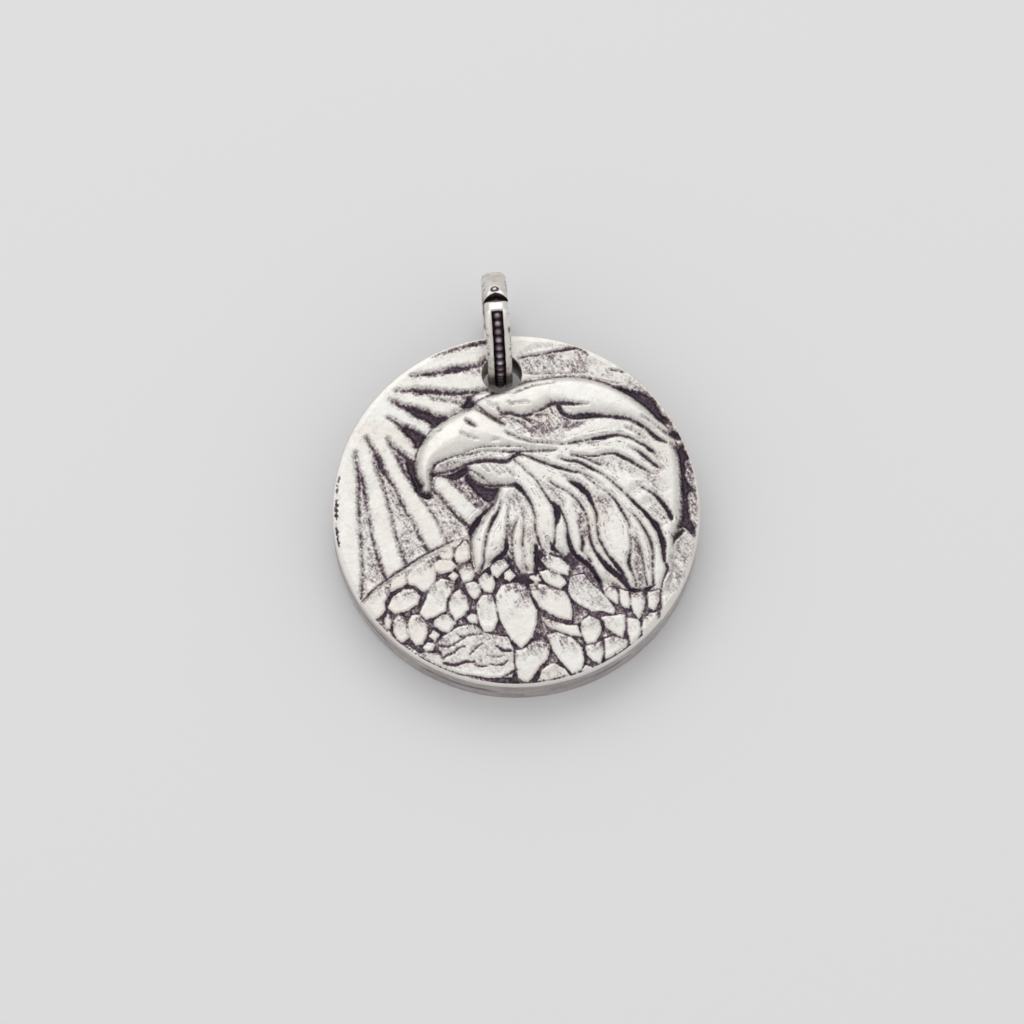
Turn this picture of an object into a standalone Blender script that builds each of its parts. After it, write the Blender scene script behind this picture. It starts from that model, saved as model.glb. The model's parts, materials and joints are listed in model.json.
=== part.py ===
"""Small round eagle medallion in antique silver, on a split ring bail.

The medallion is a thick cast disc with a hole near its rim. A ring bail, a flat
band bent into a circle and left with a narrow seam, passes through the hole. Its
outer side has a channel with a beaded wire laid in it. The medallion lies face up
on a level surface at Z = 0, and the lower arc of the ring lifts its upper edge.

Lengths are in metres. In the medallion's own frame the disc is centred on the
origin, the face looks along +Z and the hole lies on +Y.
"""

import math

import bmesh
import bpy
from mathutils import Matrix, Vector

MM = 0.001

# Medallion
DISC_RADIUS = 10.0 * MM
DISC_THICKNESS = 2.4 * MM
RIM_BEVEL = 0.15 * MM
PANEL_RADIUS = 6.2 * MM
PANEL_DEPTH = 0.12 * MM
HOLE_Y = 7.76 * MM
HOLE_RADIUS = 1.08 * MM
HOLE_CHAMFER = 0.05 * MM

# Relief on the face. The rays are wedges that point at the head, headings in degrees
# from +X. Each starts at a share of the way from their focus to the rim.
RAY_HEADINGS = (96, 112, 127, 140, 152, 163, 173, 184, 195, 206)
RAY_FOCUS = (1.6 * MM, 3.6 * MM)
RAY_START = 0.52
RAY_OUTER_RADIUS = 8.9 * MM
RAY_DEPTH = 0.3 * MM
RAY_HALF_BASE = 0.34 * MM
RAY_HALF_TIP = 0.05 * MM
HEAD_HEIGHT = 0.2 * MM
BEAK_HEIGHT = 0.3 * MM
CREST_HEIGHT = 0.4 * MM

# Ring bail
RING_OUTER_RADIUS = 3.2 * MM
RING_INNER_RADIUS = 2.5 * MM
BAND_WIDTH = 1.32 * MM
BAND_BEVEL = 0.12 * MM
CHANNEL_WIDTH = 0.58 * MM
CHANNEL_DEPTH = 0.50 * MM
BEAD_DIAMETER = 0.44 * MM
SEAM_WIDTH = 0.3 * MM
SEAM_PEAK = 0.22 * MM
SOLDER_GAP = 0.03 * MM

# Angles round the ring, from the direction away from the disc towards its face
SEAM_ANGLE = math.radians(73.5)
CHANNEL_START = math.radians(84.0)
CHANNEL_END = math.radians(300.0)

# Where the ring is at rest, and the axis that it swings about
RING_CENTRE_Y = 10.56 * MM
RING_CENTRE_Z = 0.40 * MM
RING_TWIST = math.radians(-1.7)
SWING_AXIS_Y = 9.95 * MM

ROUND_STEPS = 128
RING_STEPS = 96
HOLE_STEPS = 48

HALF = DISC_THICKNESS / 2

# The disc's rim is a polygon with a flat side, not a corner, on -Y.
HALF_STEP = math.pi / ROUND_STEPS
TO_FLAT = math.cos(HALF_STEP)


def resting_tilt():
    """The disc stands on the lower edge of its back, and the ring on its lowest point.

    The tilt follows from the line that touches both.
    """
    run = RING_CENTRE_Y + (DISC_RADIUS - RIM_BEVEL) * TO_FLAT
    rise = RING_CENTRE_Z + HALF
    return math.asin(RING_OUTER_RADIUS / math.hypot(run, rise)) - math.atan2(rise, run)


def clear_scene():
    for obj in list(bpy.data.objects):
        bpy.data.objects.remove(obj, do_unlink=True)


def new_collection(name):
    collection = bpy.data.collections.new(name)
    bpy.context.scene.collection.children.link(collection)
    return collection


clear_scene()
PARTS = new_collection("eagle_medallion")
CUTTERS = new_collection("cutters")
CUTTERS.hide_render = True


# ---------------------------------------------------------------- helpers


def rest_matrix():
    """Tilts the medallion's frame, stands it on Z = 0 and centres its box on X = Y = 0."""
    tilt = Matrix.Rotation(resting_tilt(), 4, "X")
    ring = tilt @ Vector((0, RING_CENTRE_Y, RING_CENTRE_Z))
    rim = tilt @ Vector((0, -DISC_RADIUS * TO_FLAT, HALF - RIM_BEVEL))
    middle = (ring.y + RING_OUTER_RADIUS + rim.y) / 2
    return Matrix.Translation((0, -middle, RING_OUTER_RADIUS - ring.z)) @ tilt


def add_empty(name, matrix, parent=None):
    empty = bpy.data.objects.new(name, None)
    empty.empty_display_size = 2 * MM
    PARTS.objects.link(empty)
    empty.parent = parent
    empty.matrix_local = matrix
    return empty


def add_mesh(name, bm, parent, matrix=None, cutter=False):
    mesh = bpy.data.meshes.new(name)
    bm.to_mesh(mesh)
    bm.free()
    obj = bpy.data.objects.new(name, mesh)
    obj.parent = parent
    obj.matrix_local = matrix or Matrix.Identity(4)
    if cutter:
        CUTTERS.objects.link(obj)
        obj.hide_render = True
        obj.display_type = "WIRE"
    else:
        PARTS.objects.link(obj)
    return obj


def profile_mesh(points, closed):
    """A chain of edges through (x, z) points, for a Screw modifier."""
    bm = bmesh.new()
    chain = [bm.verts.new((x, 0, z)) for x, z in points]
    for a, b in zip(chain, chain[1:]):
        bm.edges.new((a, b))
    if closed:
        bm.edges.new((chain[-1], chain[0]))
    return bm


def add_screw(obj, steps):
    screw = obj.modifiers.new("turn", "SCREW")
    screw.axis = "Z"
    screw.steps = screw.render_steps = steps
    screw.use_merge_vertices = True
    screw.merge_threshold = 1e-7
    screw.use_smooth_shade = True


def add_boolean(obj, other, operation):
    boolean = obj.modifiers.new(other.name, "BOOLEAN")
    boolean.operation = operation
    boolean.object = other
    boolean.solver = "EXACT"


def extruded_outline(name, points, low, high, parent, smooth=0):
    """A closed outline in the XY plane made solid from low to high. smooth rounds it."""
    data = bpy.data.curves.new(name + "_outline", "CURVE")
    data.dimensions = "2D"
    data.fill_mode = "BOTH"
    data.extrude = (high - low) / 2
    data.resolution_u = max(smooth, 1)
    spline = data.splines.new("BEZIER" if smooth else "POLY")
    if smooth:
        spline.bezier_points.add(len(points) - 1)
        for point, (x, y) in zip(spline.bezier_points, points):
            point.co = (x, y, 0)
            point.handle_left_type = point.handle_right_type = "AUTO"
    else:
        spline.points.add(len(points) - 1)
        for point, (x, y) in zip(spline.points, points):
            point.co = (x, y, 0, 1)
    spline.use_cyclic_u = True
    curve = bpy.data.objects.new(name + "_outline", data)
    CUTTERS.objects.link(curve)
    graph = bpy.context.evaluated_depsgraph_get()
    graph.update()
    mesh = bpy.data.meshes.new_from_object(curve.evaluated_get(graph))
    bpy.data.objects.remove(curve, do_unlink=True)
    bm = bmesh.new()
    bm.from_mesh(mesh)
    bpy.data.meshes.remove(mesh)
    bmesh.ops.remove_doubles(bm, verts=bm.verts, dist=1e-7)
    bmesh.ops.translate(bm, verts=bm.verts, vec=(0, 0, (low + high) / 2))
    bmesh.ops.recalc_face_normals(bm, faces=bm.faces)
    return add_mesh(name, bm, parent, cutter=True)


def silver(name, colour, roughness):
    material = bpy.data.materials.new(name)
    material.use_nodes = True
    shader = material.node_tree.nodes["Principled BSDF"]
    shader.inputs["Base Color"].default_value = (*colour, 1)
    shader.inputs["Roughness"].default_value = roughness
    shader.inputs["Metallic"].default_value = 1.0
    material.diffuse_color = (*colour, 1)
    return material


def mm_points(*pairs):
    return [(x * MM, y * MM) for x, y in pairs]


# ---------------------------------------------------------------- medallion


def disc_blank(parent):
    """The plain disc: bevelled rims, and a shallow flat panel sunk into the back."""
    panel_z = -HALF + PANEL_DEPTH
    profile = [
        (0, HALF),
        (DISC_RADIUS - RIM_BEVEL, HALF),
        (DISC_RADIUS, HALF - RIM_BEVEL),
        (DISC_RADIUS, -HALF + RIM_BEVEL),
        (DISC_RADIUS - RIM_BEVEL, -HALF),
        (PANEL_RADIUS + PANEL_DEPTH, -HALF),
        (PANEL_RADIUS, panel_z),
        (0, panel_z),
    ]
    turned = Matrix.Rotation(HALF_STEP, 4, "Z")
    disc = add_mesh("medallion", profile_mesh(profile, closed=False), parent, turned)
    add_screw(disc, ROUND_STEPS)
    return disc


def eagle_head(parent):
    """The silhouette of the head: hooked beak, crown, swept neck feathers and throat."""
    outline = mm_points(
        (-4.75, 1.3), (-5.25, 2.7), (-4.7, 4.3), (-3.5, 5.3), (-2.1, 5.95),
        (-1.0, 6.45), (1.5, 6.6), (4.2, 6.9), (6.2, 6.3), (8.2, 4.5), (9.0, 2.6),
        (9.0, 0.0), (8.6, -2.2), (7.5, -5.0), (5.6, -4.9), (3.6, -3.4), (2.2, -2.6),
        (0.7, -3.5), (-1.4, -2.7), (-2.6, -1.6), (-1.0, 0.6), (-1.2, 1.5),
        (-2.3, 2.5), (-3.2, 2.6), (-4.2, 2.3),
    )
    return extruded_outline("head_relief", outline, 0, HALF + HEAD_HEIGHT, parent, smooth=5)


def brow_crest(parent):
    """The heavy brow that runs back from above the eye to the nape."""
    outline = mm_points(
        (-1.7, 6.35), (-0.4, 6.5), (2.4, 6.7), (4.8, 6.6), (7.0, 5.4), (9.1, 3.2),
        (7.4, 4.2), (5.4, 5.1), (3.2, 5.2), (2.2, 5.7), (0.8, 5.3), (-0.6, 5.4),
    )
    return extruded_outline("brow_relief", outline, 0, HALF + CREST_HEIGHT, parent, smooth=5)


def upper_beak(parent):
    outline = mm_points(
        (-4.75, 1.5), (-5.1, 2.8), (-4.5, 4.2), (-3.2, 5.3), (-2.1, 5.7), (-0.3, 4.6),
        (1.8, 3.6), (-1.0, 3.8), (-3.4, 3.4), (-4.2, 2.6),
    )
    return extruded_outline("beak_relief", outline, 0, HALF + BEAK_HEIGHT, parent, smooth=5)


def ray_grooves(parent):
    """Wedges sunk into the face on the side that the eagle looks to.

    Each is thin near the rim and widens towards the head, which all of them point at.
    """
    floor = HALF - RAY_DEPTH
    focus_x, focus_y = RAY_FOCUS
    bm = bmesh.new()
    for degrees in RAY_HEADINGS:
        heading = math.radians(degrees)
        across = (-math.sin(heading), math.cos(heading))
        along = (math.cos(heading), math.sin(heading))
        reach = -(focus_x * along[0] + focus_y * along[1])
        offset = focus_x**2 + focus_y**2 - RAY_OUTER_RADIUS**2
        reach += math.sqrt(reach * reach - offset)
        corners = (
            (reach * RAY_START, -RAY_HALF_BASE),
            (reach * RAY_START, RAY_HALF_BASE),
            (reach, RAY_HALF_TIP),
            (reach, -RAY_HALF_TIP),
        )
        wedge = []
        for top in (floor, HALF + RAY_DEPTH):
            for run, side in corners:
                x = focus_x + run * along[0] + side * across[0]
                y = focus_y + run * along[1] + side * across[1]
                wedge.append(bm.verts.new((x, y, top)))
        bmesh.ops.convex_hull(bm, input=wedge)
    bmesh.ops.recalc_face_normals(bm, faces=bm.faces)
    return add_mesh("ray_grooves", bm, parent, cutter=True)


def hole_cutter(parent):
    """A straight bore with a small chamfer at both faces."""
    over = 2 * CREST_HEIGHT
    mouth = HOLE_RADIUS + HOLE_CHAMFER
    profile = [
        (0, HALF + over),
        (mouth + over, HALF + over),
        (mouth, HALF),
        (HOLE_RADIUS, HALF - HOLE_CHAMFER),
        (HOLE_RADIUS, -HALF + HOLE_CHAMFER),
        (mouth, -HALF),
        (mouth + over, -HALF - over),
        (0, -HALF - over),
    ]
    place = Matrix.Translation((0, HOLE_Y, 0))
    cutter = add_mesh("hole_cutter", profile_mesh(profile, closed=False), parent, place, cutter=True)
    add_screw(cutter, HOLE_STEPS)
    return cutter


def build_medallion(parent):
    disc = disc_blank(parent)
    add_boolean(disc, ray_grooves(parent), "DIFFERENCE")
    for relief in (eagle_head, upper_beak, brow_crest):
        add_boolean(disc, relief(parent), "UNION")
    add_boolean(disc, hole_cutter(parent), "DIFFERENCE")
    disc.data.materials.append(silver("medallion_silver", (0.78, 0.76, 0.73), 0.34))
    return disc


# ---------------------------------------------------------------- ring bail

# A turned shape here has its axis along Z. This turns the axis to X, and puts angle
# zero of the ring in the direction away from the disc.
AXIS_TO_X = Matrix.Rotation(math.radians(90), 4, "Y")


def ring_place():
    """From the ring's own frame, centred on it, to the frame of the swing axis."""
    shift = Matrix.Translation((0, RING_CENTRE_Y - SWING_AXIS_Y, RING_CENTRE_Z))
    return shift @ Matrix.Rotation(RING_TWIST, 4, "Z")


def band(parent):
    half = BAND_WIDTH / 2
    inner, outer, cut = RING_INNER_RADIUS, RING_OUTER_RADIUS, BAND_BEVEL
    profile = [
        (outer - cut, half), (outer, half - cut), (outer, cut - half), (outer - cut, -half),
        (inner + cut, -half), (inner, cut - half), (inner, half - cut), (inner + cut, half),
    ]
    ring = add_mesh("bail_ring", profile_mesh(profile, closed=True), parent, ring_place() @ AXIS_TO_X)
    add_screw(ring, RING_STEPS)
    return ring


def channel_cutter(parent):
    """A bar of square section bent round the outside of the band, where the beads lie."""
    half = CHANNEL_WIDTH / 2
    floor = RING_OUTER_RADIUS - CHANNEL_DEPTH
    top = RING_OUTER_RADIUS + CHANNEL_DEPTH
    bm = bmesh.new()
    start = CHANNEL_START
    section = [
        bm.verts.new((x, r * math.cos(start), r * math.sin(start)))
        for x, r in ((-half, floor), (half, floor), (half, top), (-half, top))
    ]
    face = bm.faces.new(section)
    sweep = CHANNEL_END - CHANNEL_START
    steps = round(RING_STEPS * sweep / math.tau)
    bmesh.ops.spin(
        bm, geom=[face, *face.edges, *face.verts], cent=(0, 0, 0), axis=(1, 0, 0),
        angle=sweep, steps=steps, use_merge=False,
    )
    bmesh.ops.remove_doubles(bm, verts=bm.verts, dist=1e-8)
    bmesh.ops.recalc_face_normals(bm, faces=bm.faces)
    return add_mesh("channel_cutter", bm, parent, ring_place(), cutter=True)


def seam_cutter(parent):
    """A slot across the band. Its side nearer the crown of the ring rises to a peak."""
    half, rise = BAND_WIDTH, SEAM_WIDTH / 2
    outline = [(-half, -rise), (half, -rise), (half, rise), (0, rise + SEAM_PEAK), (-half, rise)]
    low, high = RING_INNER_RADIUS - BAND_WIDTH / 2, RING_OUTER_RADIUS + BAND_WIDTH / 2
    cutter = extruded_outline("seam_cutter", outline, low, high, parent)
    cutter.matrix_local = ring_place() @ Matrix.Rotation(SEAM_ANGLE - math.pi / 2, 4, "X")
    return cutter


def build_bail_ring(parent):
    ring = band(parent)
    add_boolean(ring, channel_cutter(parent), "DIFFERENCE")
    add_boolean(ring, seam_cutter(parent), "DIFFERENCE")
    ring.data.materials.append(silver("bail_silver", (0.80, 0.78, 0.74), 0.30))
    return ring


def build_bead_wire(parent):
    """The beaded wire in the channel, here as a plain round wire of the beads' diameter."""
    radius = RING_OUTER_RADIUS - CHANNEL_DEPTH + SOLDER_GAP + BEAD_DIAMETER / 2
    clear = SOLDER_GAP / radius
    start, end = CHANNEL_START + clear, CHANNEL_END - clear
    data = bpy.data.curves.new("bead_wire", "CURVE")
    data.dimensions = "3D"
    data.bevel_depth = BEAD_DIAMETER / 2
    data.bevel_resolution = 2
    data.use_fill_caps = True
    spline = data.splines.new("POLY")
    steps = round(RING_STEPS * (end - start) / math.tau)
    spline.points.add(steps)
    for i, point in enumerate(spline.points):
        angle = start + (end - start) * i / steps
        point.co = (0, radius * math.cos(angle), radius * math.sin(angle), 1)
    wire = bpy.data.objects.new("bead_wire", data)
    PARTS.objects.link(wire)
    wire.parent = parent
    wire.matrix_local = ring_place()
    data.materials.append(silver("bead_silver", (0.55, 0.54, 0.55), 0.38))
    return wire


# ---------------------------------------------------------------- assembly


def main():
    frame = add_empty("medallion_frame", rest_matrix())
    swing = add_empty("bail_swing_axis", Matrix.Translation((0, SWING_AXIS_Y, 0)), frame)
    bpy.context.view_layer.update()
    build_medallion(frame)
    build_bail_ring(swing)
    build_bead_wire(swing)
    bpy.context.view_layer.update()


main()
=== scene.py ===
"""Looks of the eagle medallion: struck relief in antique silver, and its beaded ring bail."""

import json
import math

import bpy
import numpy as np
from mathutils import Matrix, Vector
from mathutils.geometry import delaunay_2d_cdt


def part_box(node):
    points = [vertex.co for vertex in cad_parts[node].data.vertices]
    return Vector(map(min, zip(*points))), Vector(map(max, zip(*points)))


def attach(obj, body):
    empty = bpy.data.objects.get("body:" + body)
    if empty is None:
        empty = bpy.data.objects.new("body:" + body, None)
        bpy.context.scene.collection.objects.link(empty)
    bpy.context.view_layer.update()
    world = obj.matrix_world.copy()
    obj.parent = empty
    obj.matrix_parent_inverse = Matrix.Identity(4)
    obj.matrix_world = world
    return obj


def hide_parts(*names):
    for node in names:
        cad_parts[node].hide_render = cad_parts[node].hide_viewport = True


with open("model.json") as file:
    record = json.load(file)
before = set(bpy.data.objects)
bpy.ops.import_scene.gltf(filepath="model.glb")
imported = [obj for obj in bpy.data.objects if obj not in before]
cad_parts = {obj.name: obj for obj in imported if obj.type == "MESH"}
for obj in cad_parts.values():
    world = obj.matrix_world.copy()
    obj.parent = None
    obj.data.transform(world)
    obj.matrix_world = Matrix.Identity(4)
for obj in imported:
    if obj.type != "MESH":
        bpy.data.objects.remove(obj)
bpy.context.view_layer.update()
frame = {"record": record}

MM = 0.001

# ---- sizes, in millimetres in the frame of the disc or of the ring

DISC_RADIUS = 10.0
HALF = 1.2  # half the thickness
EDGE_ROUND = 0.15
HOLE_Y = 7.76
HOLE_RADIUS = 1.08
HOLE_SOFT = 0.05
PANEL_RADIUS = 6.2
PANEL_DEPTH = 0.12
PANEL_POINT = (0, -1.5, -1.08)  # where the record's reverse_panel mount is, in the disc's frame

RING_OUTER = 3.2
RING_INNER = 2.5
RING_TWIST = math.radians(-1.7)
BAND_WIDTH = 1.32
CHANNEL_WIDTH = 0.58
CHANNEL_DEPTH = 0.5
CHANNEL = math.radians(88.5), math.radians(300)
SEAM = math.radians(75)
SEAM_WIDTH = 0.3
SEAM_PEAK = 0.22
BEAD = 0.44
BEADS = 25

# ---- how finely the meshes are divided

FACE_RINGS = 204
BACK_RINGS = 26
PANEL_STEPS = 240
RING_STEPS = 380
BEAD_STEPS = 18
BEAD_SIDES = 24

# ---- colours, light and camera, in metres

SILVER = (0.82, 0.803, 0.772)
FLOOR = (0.812, 0.812, 0.83, 1)
WORLD = (1, 0.995, 0.985, 1)
WORLD_STRENGTH = 0.72
LIGHTS = (
    # name, place, diameter, power
    ("key", (-0.03, 0.24, 0.34), 0.42, 0.4),
    ("fill", (-0.5, -0.1, 0.6), 0.5, 0.2),
)
AZIMUTH, ELEVATION = math.radians(-5.8), math.radians(68.4)
LENS, SENSOR = 200, 36
FIELD = 0.05555  # how much the picture takes in at the face
ASIDE, ABOVE = 0.0041, 0.00293  # the face's centre from the picture's, as shares of its width


# ---- shape helpers, all in millimetres on the face


def smooth(t):
    t = np.clip(t, 0, 1)
    return t * t * (3 - 2 * t)


def lattice(x, y, cell, seed):
    """Smooth random values from 0 to 1, with one new value in each cell."""
    values = np.random.default_rng(seed).random((257, 257))
    u, v = x / cell + 500, y / cell + 500
    i, j = np.floor(u).astype(int), np.floor(v).astype(int)
    fu, fv = smooth(u - i), smooth(v - j)
    i, j = i % 256, j % 256
    low = values[i, j] * (1 - fu) + values[i + 1, j] * fu
    high = values[i, j + 1] * (1 - fu) + values[i + 1, j + 1] * fu
    return low * (1 - fv) + high * fv


def grain(x, y, cell, seed):
    """Two octaves of lattice noise, centred on zero and within about 0.5 of it."""
    return lattice(x, y, cell, seed) * 0.62 + lattice(x, y, cell * 0.47, seed + 1) * 0.38 - 0.5


def spline(points, closed=False, step=0.07):
    """Points close together on the smooth line through the given ones."""
    p = np.array(points, float)
    if closed:
        p = np.vstack([p[-1:], p, p[:2]])
    else:
        p = np.vstack([2 * p[:1] - p[1:2], p, 2 * p[-1:] - p[-2:-1]])
    out = []
    for a, b, c, d in zip(p, p[1:], p[2:], p[3:]):
        n = max(2, int(np.hypot(*(c - b)[:2]) / step) + 1)
        t = np.arange(n)[:, None] / n
        out.append(
            b + t * (c - a) / 2 + t * t * (a - 2.5 * b + 2 * c - d / 2)
            + t**3 * (1.5 * (b - c) + (d - a) / 2)
        )
    if not closed:
        out.append(p[-2:-1])
    return np.vstack(out)


def near(x, y, line, margin):
    """The indices of the points inside the line's box, widened by the margin."""
    low, high = line[:, :2].min(0) - margin, line[:, :2].max(0) + margin
    return np.nonzero((x > low[0]) & (x < high[0]) & (y > low[1]) & (y < high[1]))[0]


def to_line(x, y, line):
    """The distance from each point to a line, less the line's own half width where it has one."""
    best = np.full(len(x), 1e9)
    for a, b in zip(line, line[1:]):
        ab = b - a
        t = ((x - a[0]) * ab[0] + (y - a[1]) * ab[1]) / max(ab[0] ** 2 + ab[1] ** 2, 1e-12)
        t = np.clip(t, 0, 1)
        d = np.hypot(x - a[0] - t * ab[0], y - a[1] - t * ab[1])
        if len(a) > 2:
            d = d - np.maximum(a[2] + t * ab[2], 0.0) / 2
        best = np.minimum(best, d)
    return best


def inside(x, y, outline):
    """How far inside a closed outline each point is, and below zero outside it."""
    odd = np.zeros(len(x), bool)
    for (a, b), (c, d) in zip(outline, np.roll(outline, -1, axis=0)):
        if b != d:
            odd ^= ((b > y) != (d > y)) & (x < (c - a) * (y - b) / (d - b) + a)
    gap = to_line(x, y, np.vstack([outline, outline[:1]]))
    return np.where(odd, gap, -gap)


# ---- the drawing, in millimetres on the face. The hole is on +Y.


def points_of(size, *rows):
    """Each row of numbers as a list of points that have this many numbers."""
    return [[row[i : i + size] for i in range(0, len(row), size)] for row in rows]


def arc(radius, *marks):
    """Points along a circle round the disc's centre, from (degrees, width) pairs."""
    turns = [(math.radians(a), width) for a, width in marks]
    return [(radius * math.cos(t), radius * math.sin(t), width) for t, width in turns]


# Each groove is a row of x,y,width points, and each outline is a row of x,y points.

# the rays behind the head
RAYS = points_of(3,
    (-3.68,9.17,.03, -3.1,9.3,.1, -1.8,9.54,.14, -1.17,9.65,.22, -.55,9.72,.28),
    (-4.95,8.14,.05, -4.4,8.14,.15, -3.4,8.18,.26, -2.5,8.27,.34, -1.6,8.35,.22, -1.1,8.42,.16,
     -.78,8.7,.18),
    (-5.8,7.39,.08, -5.2,7.32,.15, -4.9,7.36,.2, -4.7,7.24,.36, -3.75,7.1,.3, -2.8,6.93,.25,
     -1.8,6.87,.22, -1.1,6.93,.15, -.6,6.98,.1),
    (-3.9,6.75,.08, -3.36,6.61,.1, -2.78,6.45,.1, -2.2,6.2,.16),
    (-6.2,6.85,.08, -5.9,6.65,.2, -5.6,6.45,.25, -5.1,6.27,.3, -4.7,6.13,.32, -4.3,5.9,.36,
     -4,5.7,.34, -3.5,5.6,.25, -3.2,5.58,.12),
    (-3.25,5.58,.1, -2.8,5.78,.1, -2.3,5.9,.1, -1.8,6,.12),
    (-6.4,5.87,.1, -6.07,5.6,.15, -5.75,5.3,.28, -5.4,5.13,.36, -5.1,4.84,.45, -4.8,4.6,.45,
     -4.55,4.5,.2),
    (-6.52,4.7,.06, -6.46,4.35,.12, -6.2,4.05,.25, -5.95,3.8,.32, -5.6,3.45,.3, -5.3,3.2,.25),
    (-6.35,4.1,.1, -6.05,3.4,.14, -5.85,2.8,.16, -5.6,2.3,.18, -5.3,1.9,.3),
    (-7.7,4.85,.08, -7.55,4.5,.12, -7.42,4.2,.16, -7.26,3.8,.28, -7.15,3.4,.34, -7,2.95,.3,
     -6.77,2.5,.2, -6.39,1.68,.14, -6.13,.84,.13, -5.7,-.1,.12, -5.35,-1.1,.15, -4.97,-1.94,.16),
    (-7.4,3.4,.1, -7.23,2.84,.15, -7.1,2.4,.14, -6.95,1.5,.09, -6.8,.5,.09, -6.65,-.6,.1,
     -6.46,-1.6,.12, -6.2,-2.55,.2),
    (-8.36,4.1,.08, -8.39,3.6,.12, -8.33,3.2,.18, -8.33,2.3,.18, -8.42,1.5,.13, -8.5,.2,.1,
     -8.54,-1.2,.11, -8.6,-2.5,.1, -8.72,-3.6,.12, -8.95,-4.5,.12),
    (-8.2,2.9,.1, -8.14,2.4,.2, -8.1,1.9,.2, -8.04,.9,.13, -7.94,-.7,.11, -7.8,-1.5,.14,
     -7.65,-2.5,.16, -7.43,-3.2,.2),
    (-4.97,1.03,.12, -4.78,.71,.1, -4.4,-.06,.1, -4.1,-.85,.1, -3.9,-1.5,.14),
    (-4.36,1.42,.2, -4.07,1.16,.15, -3.62,.45,.18, -3.2,-.13,.22, -2.91,-.45,.25, -2.6,-.8,.3),
    (-3.3,2,.25, -2.97,1.48,.12, -2.65,1.16,.12, -2.39,.77,.13, -2.05,.35,.15),
)

# worn dashes just inside the rim
RIM_LINES = [
    arc(9.78, (163.5, .05), (166.5, .1), (169, .07), (170, .03)),
    arc(9.76, (171.5, .05), (174, .15), (177, .14), (178, .03)),
    arc(9.82, (179.5, .06), (182, .15), (184.5, .12), (186.5, .03)),
    arc(9.82, (214.5, .02), (222, .05), (230, .06), (239, .04), (243, .02)),
    arc(9.82, (246.5, .02), (253, .06), (262, .05), (271, .07), (279.5, .05), (285.5, .02)),
    arc(9.82, (290, .02), (295.5, .05), (301.5, .03)),
]

# wide, fully dark places: closed outlines
DARK = points_of(2,
    # between the brow's tip and the beak
    (-2.4,6.75, -1.9,6.7, -1.6,6.8, -1.8,6.45, -1.6,6.2, -1.75,6, -2.1,5.95, -2.45,6.15, -2.1,6.45),
    (-5.5,6.35, -5,6.35, -4.3,6.1, -3.9,5.8, -3.2,5.55, -3.9,5.15, -4.15,5.05, -4.25,5.35,
     -4.7,5.62, -5.2,5.98),
    (-5.8,5.2, -5.4,5.3, -4.9,4.95, -4.5,4.6, -5.05,3.95, -5.25,4.4, -5.6,4.8),
    (-5.7,3.4, -5.35,3.3, -5.2,2.9, -5.2,2.5, -5.05,2.05, -4.88,1.85, -4.95,1.5, -4.4,1.35,
     -4.55,1.05, -4.95,1.1, -5.35,1.55, -5.45,1.95, -5.6,2.4, -5.75,2.8),
    # mouth, and under the chin
    (-4.4,2.55, -3.9,2.35, -3.3,2.42, -2.8,2.62, -2.4,2.72, -2.42,2.3, -2.8,2.1, -3.2,1.95,
     -3.7,2.2, -4.15,2.25, -4.3,1.9, -4.35,1.4, -4.5,1.35, -4.45,2),
    (-2.5,2.35, -2.2,2, -1.8,1.65, -1.3,1.4, -.75,1.3, -1,.9, -1.1,.65, -1.5,.55, -1.9,.9, -2.3,1.4,
     -2.6,1.9),
    # behind the nape
    (6,6.42, 6.5,6.4, 7,6.18, 7.5,6.02, 7.9,5.82, 8.15,5.45, 8.35,5, 8.5,4.62, 8.75,4.45, 8.95,4,
     9.05,3.7, 9.25,3.4, 9.4,3.05, 9,3.15, 8.6,3.5, 8.85,3.62, 8.97,3.85, 8.75,4, 8.45,4.08,
     8.1,4.35, 7.8,4.8, 7.45,5.22, 7,5.62, 6.5,6.05),
    (8.75,2.82, 9.1,2.72, 9.45,2.85, 9.5,2.5, 9.68,2, 9.4,1.75, 9.45,1.4, 9.35,1, 9.5,.6, 9.85,.1,
     9.45,0, 9.4,-.5, 9.35,-1, 9.35,-1.5, 9.55,-1.9, 9.5,-2.5, 9.2,-2.25, 8.95,-1.95, 8.6,-2.1,
     8.5,-2.4, 8.3,-2.4, 8.72,-1.7, 8.88,-1.2, 8.98,-.5, 9.03,.3, 9.08,1, 9.1,1.6, 9.03,2.2,
     8.9,2.6),
)

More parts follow.
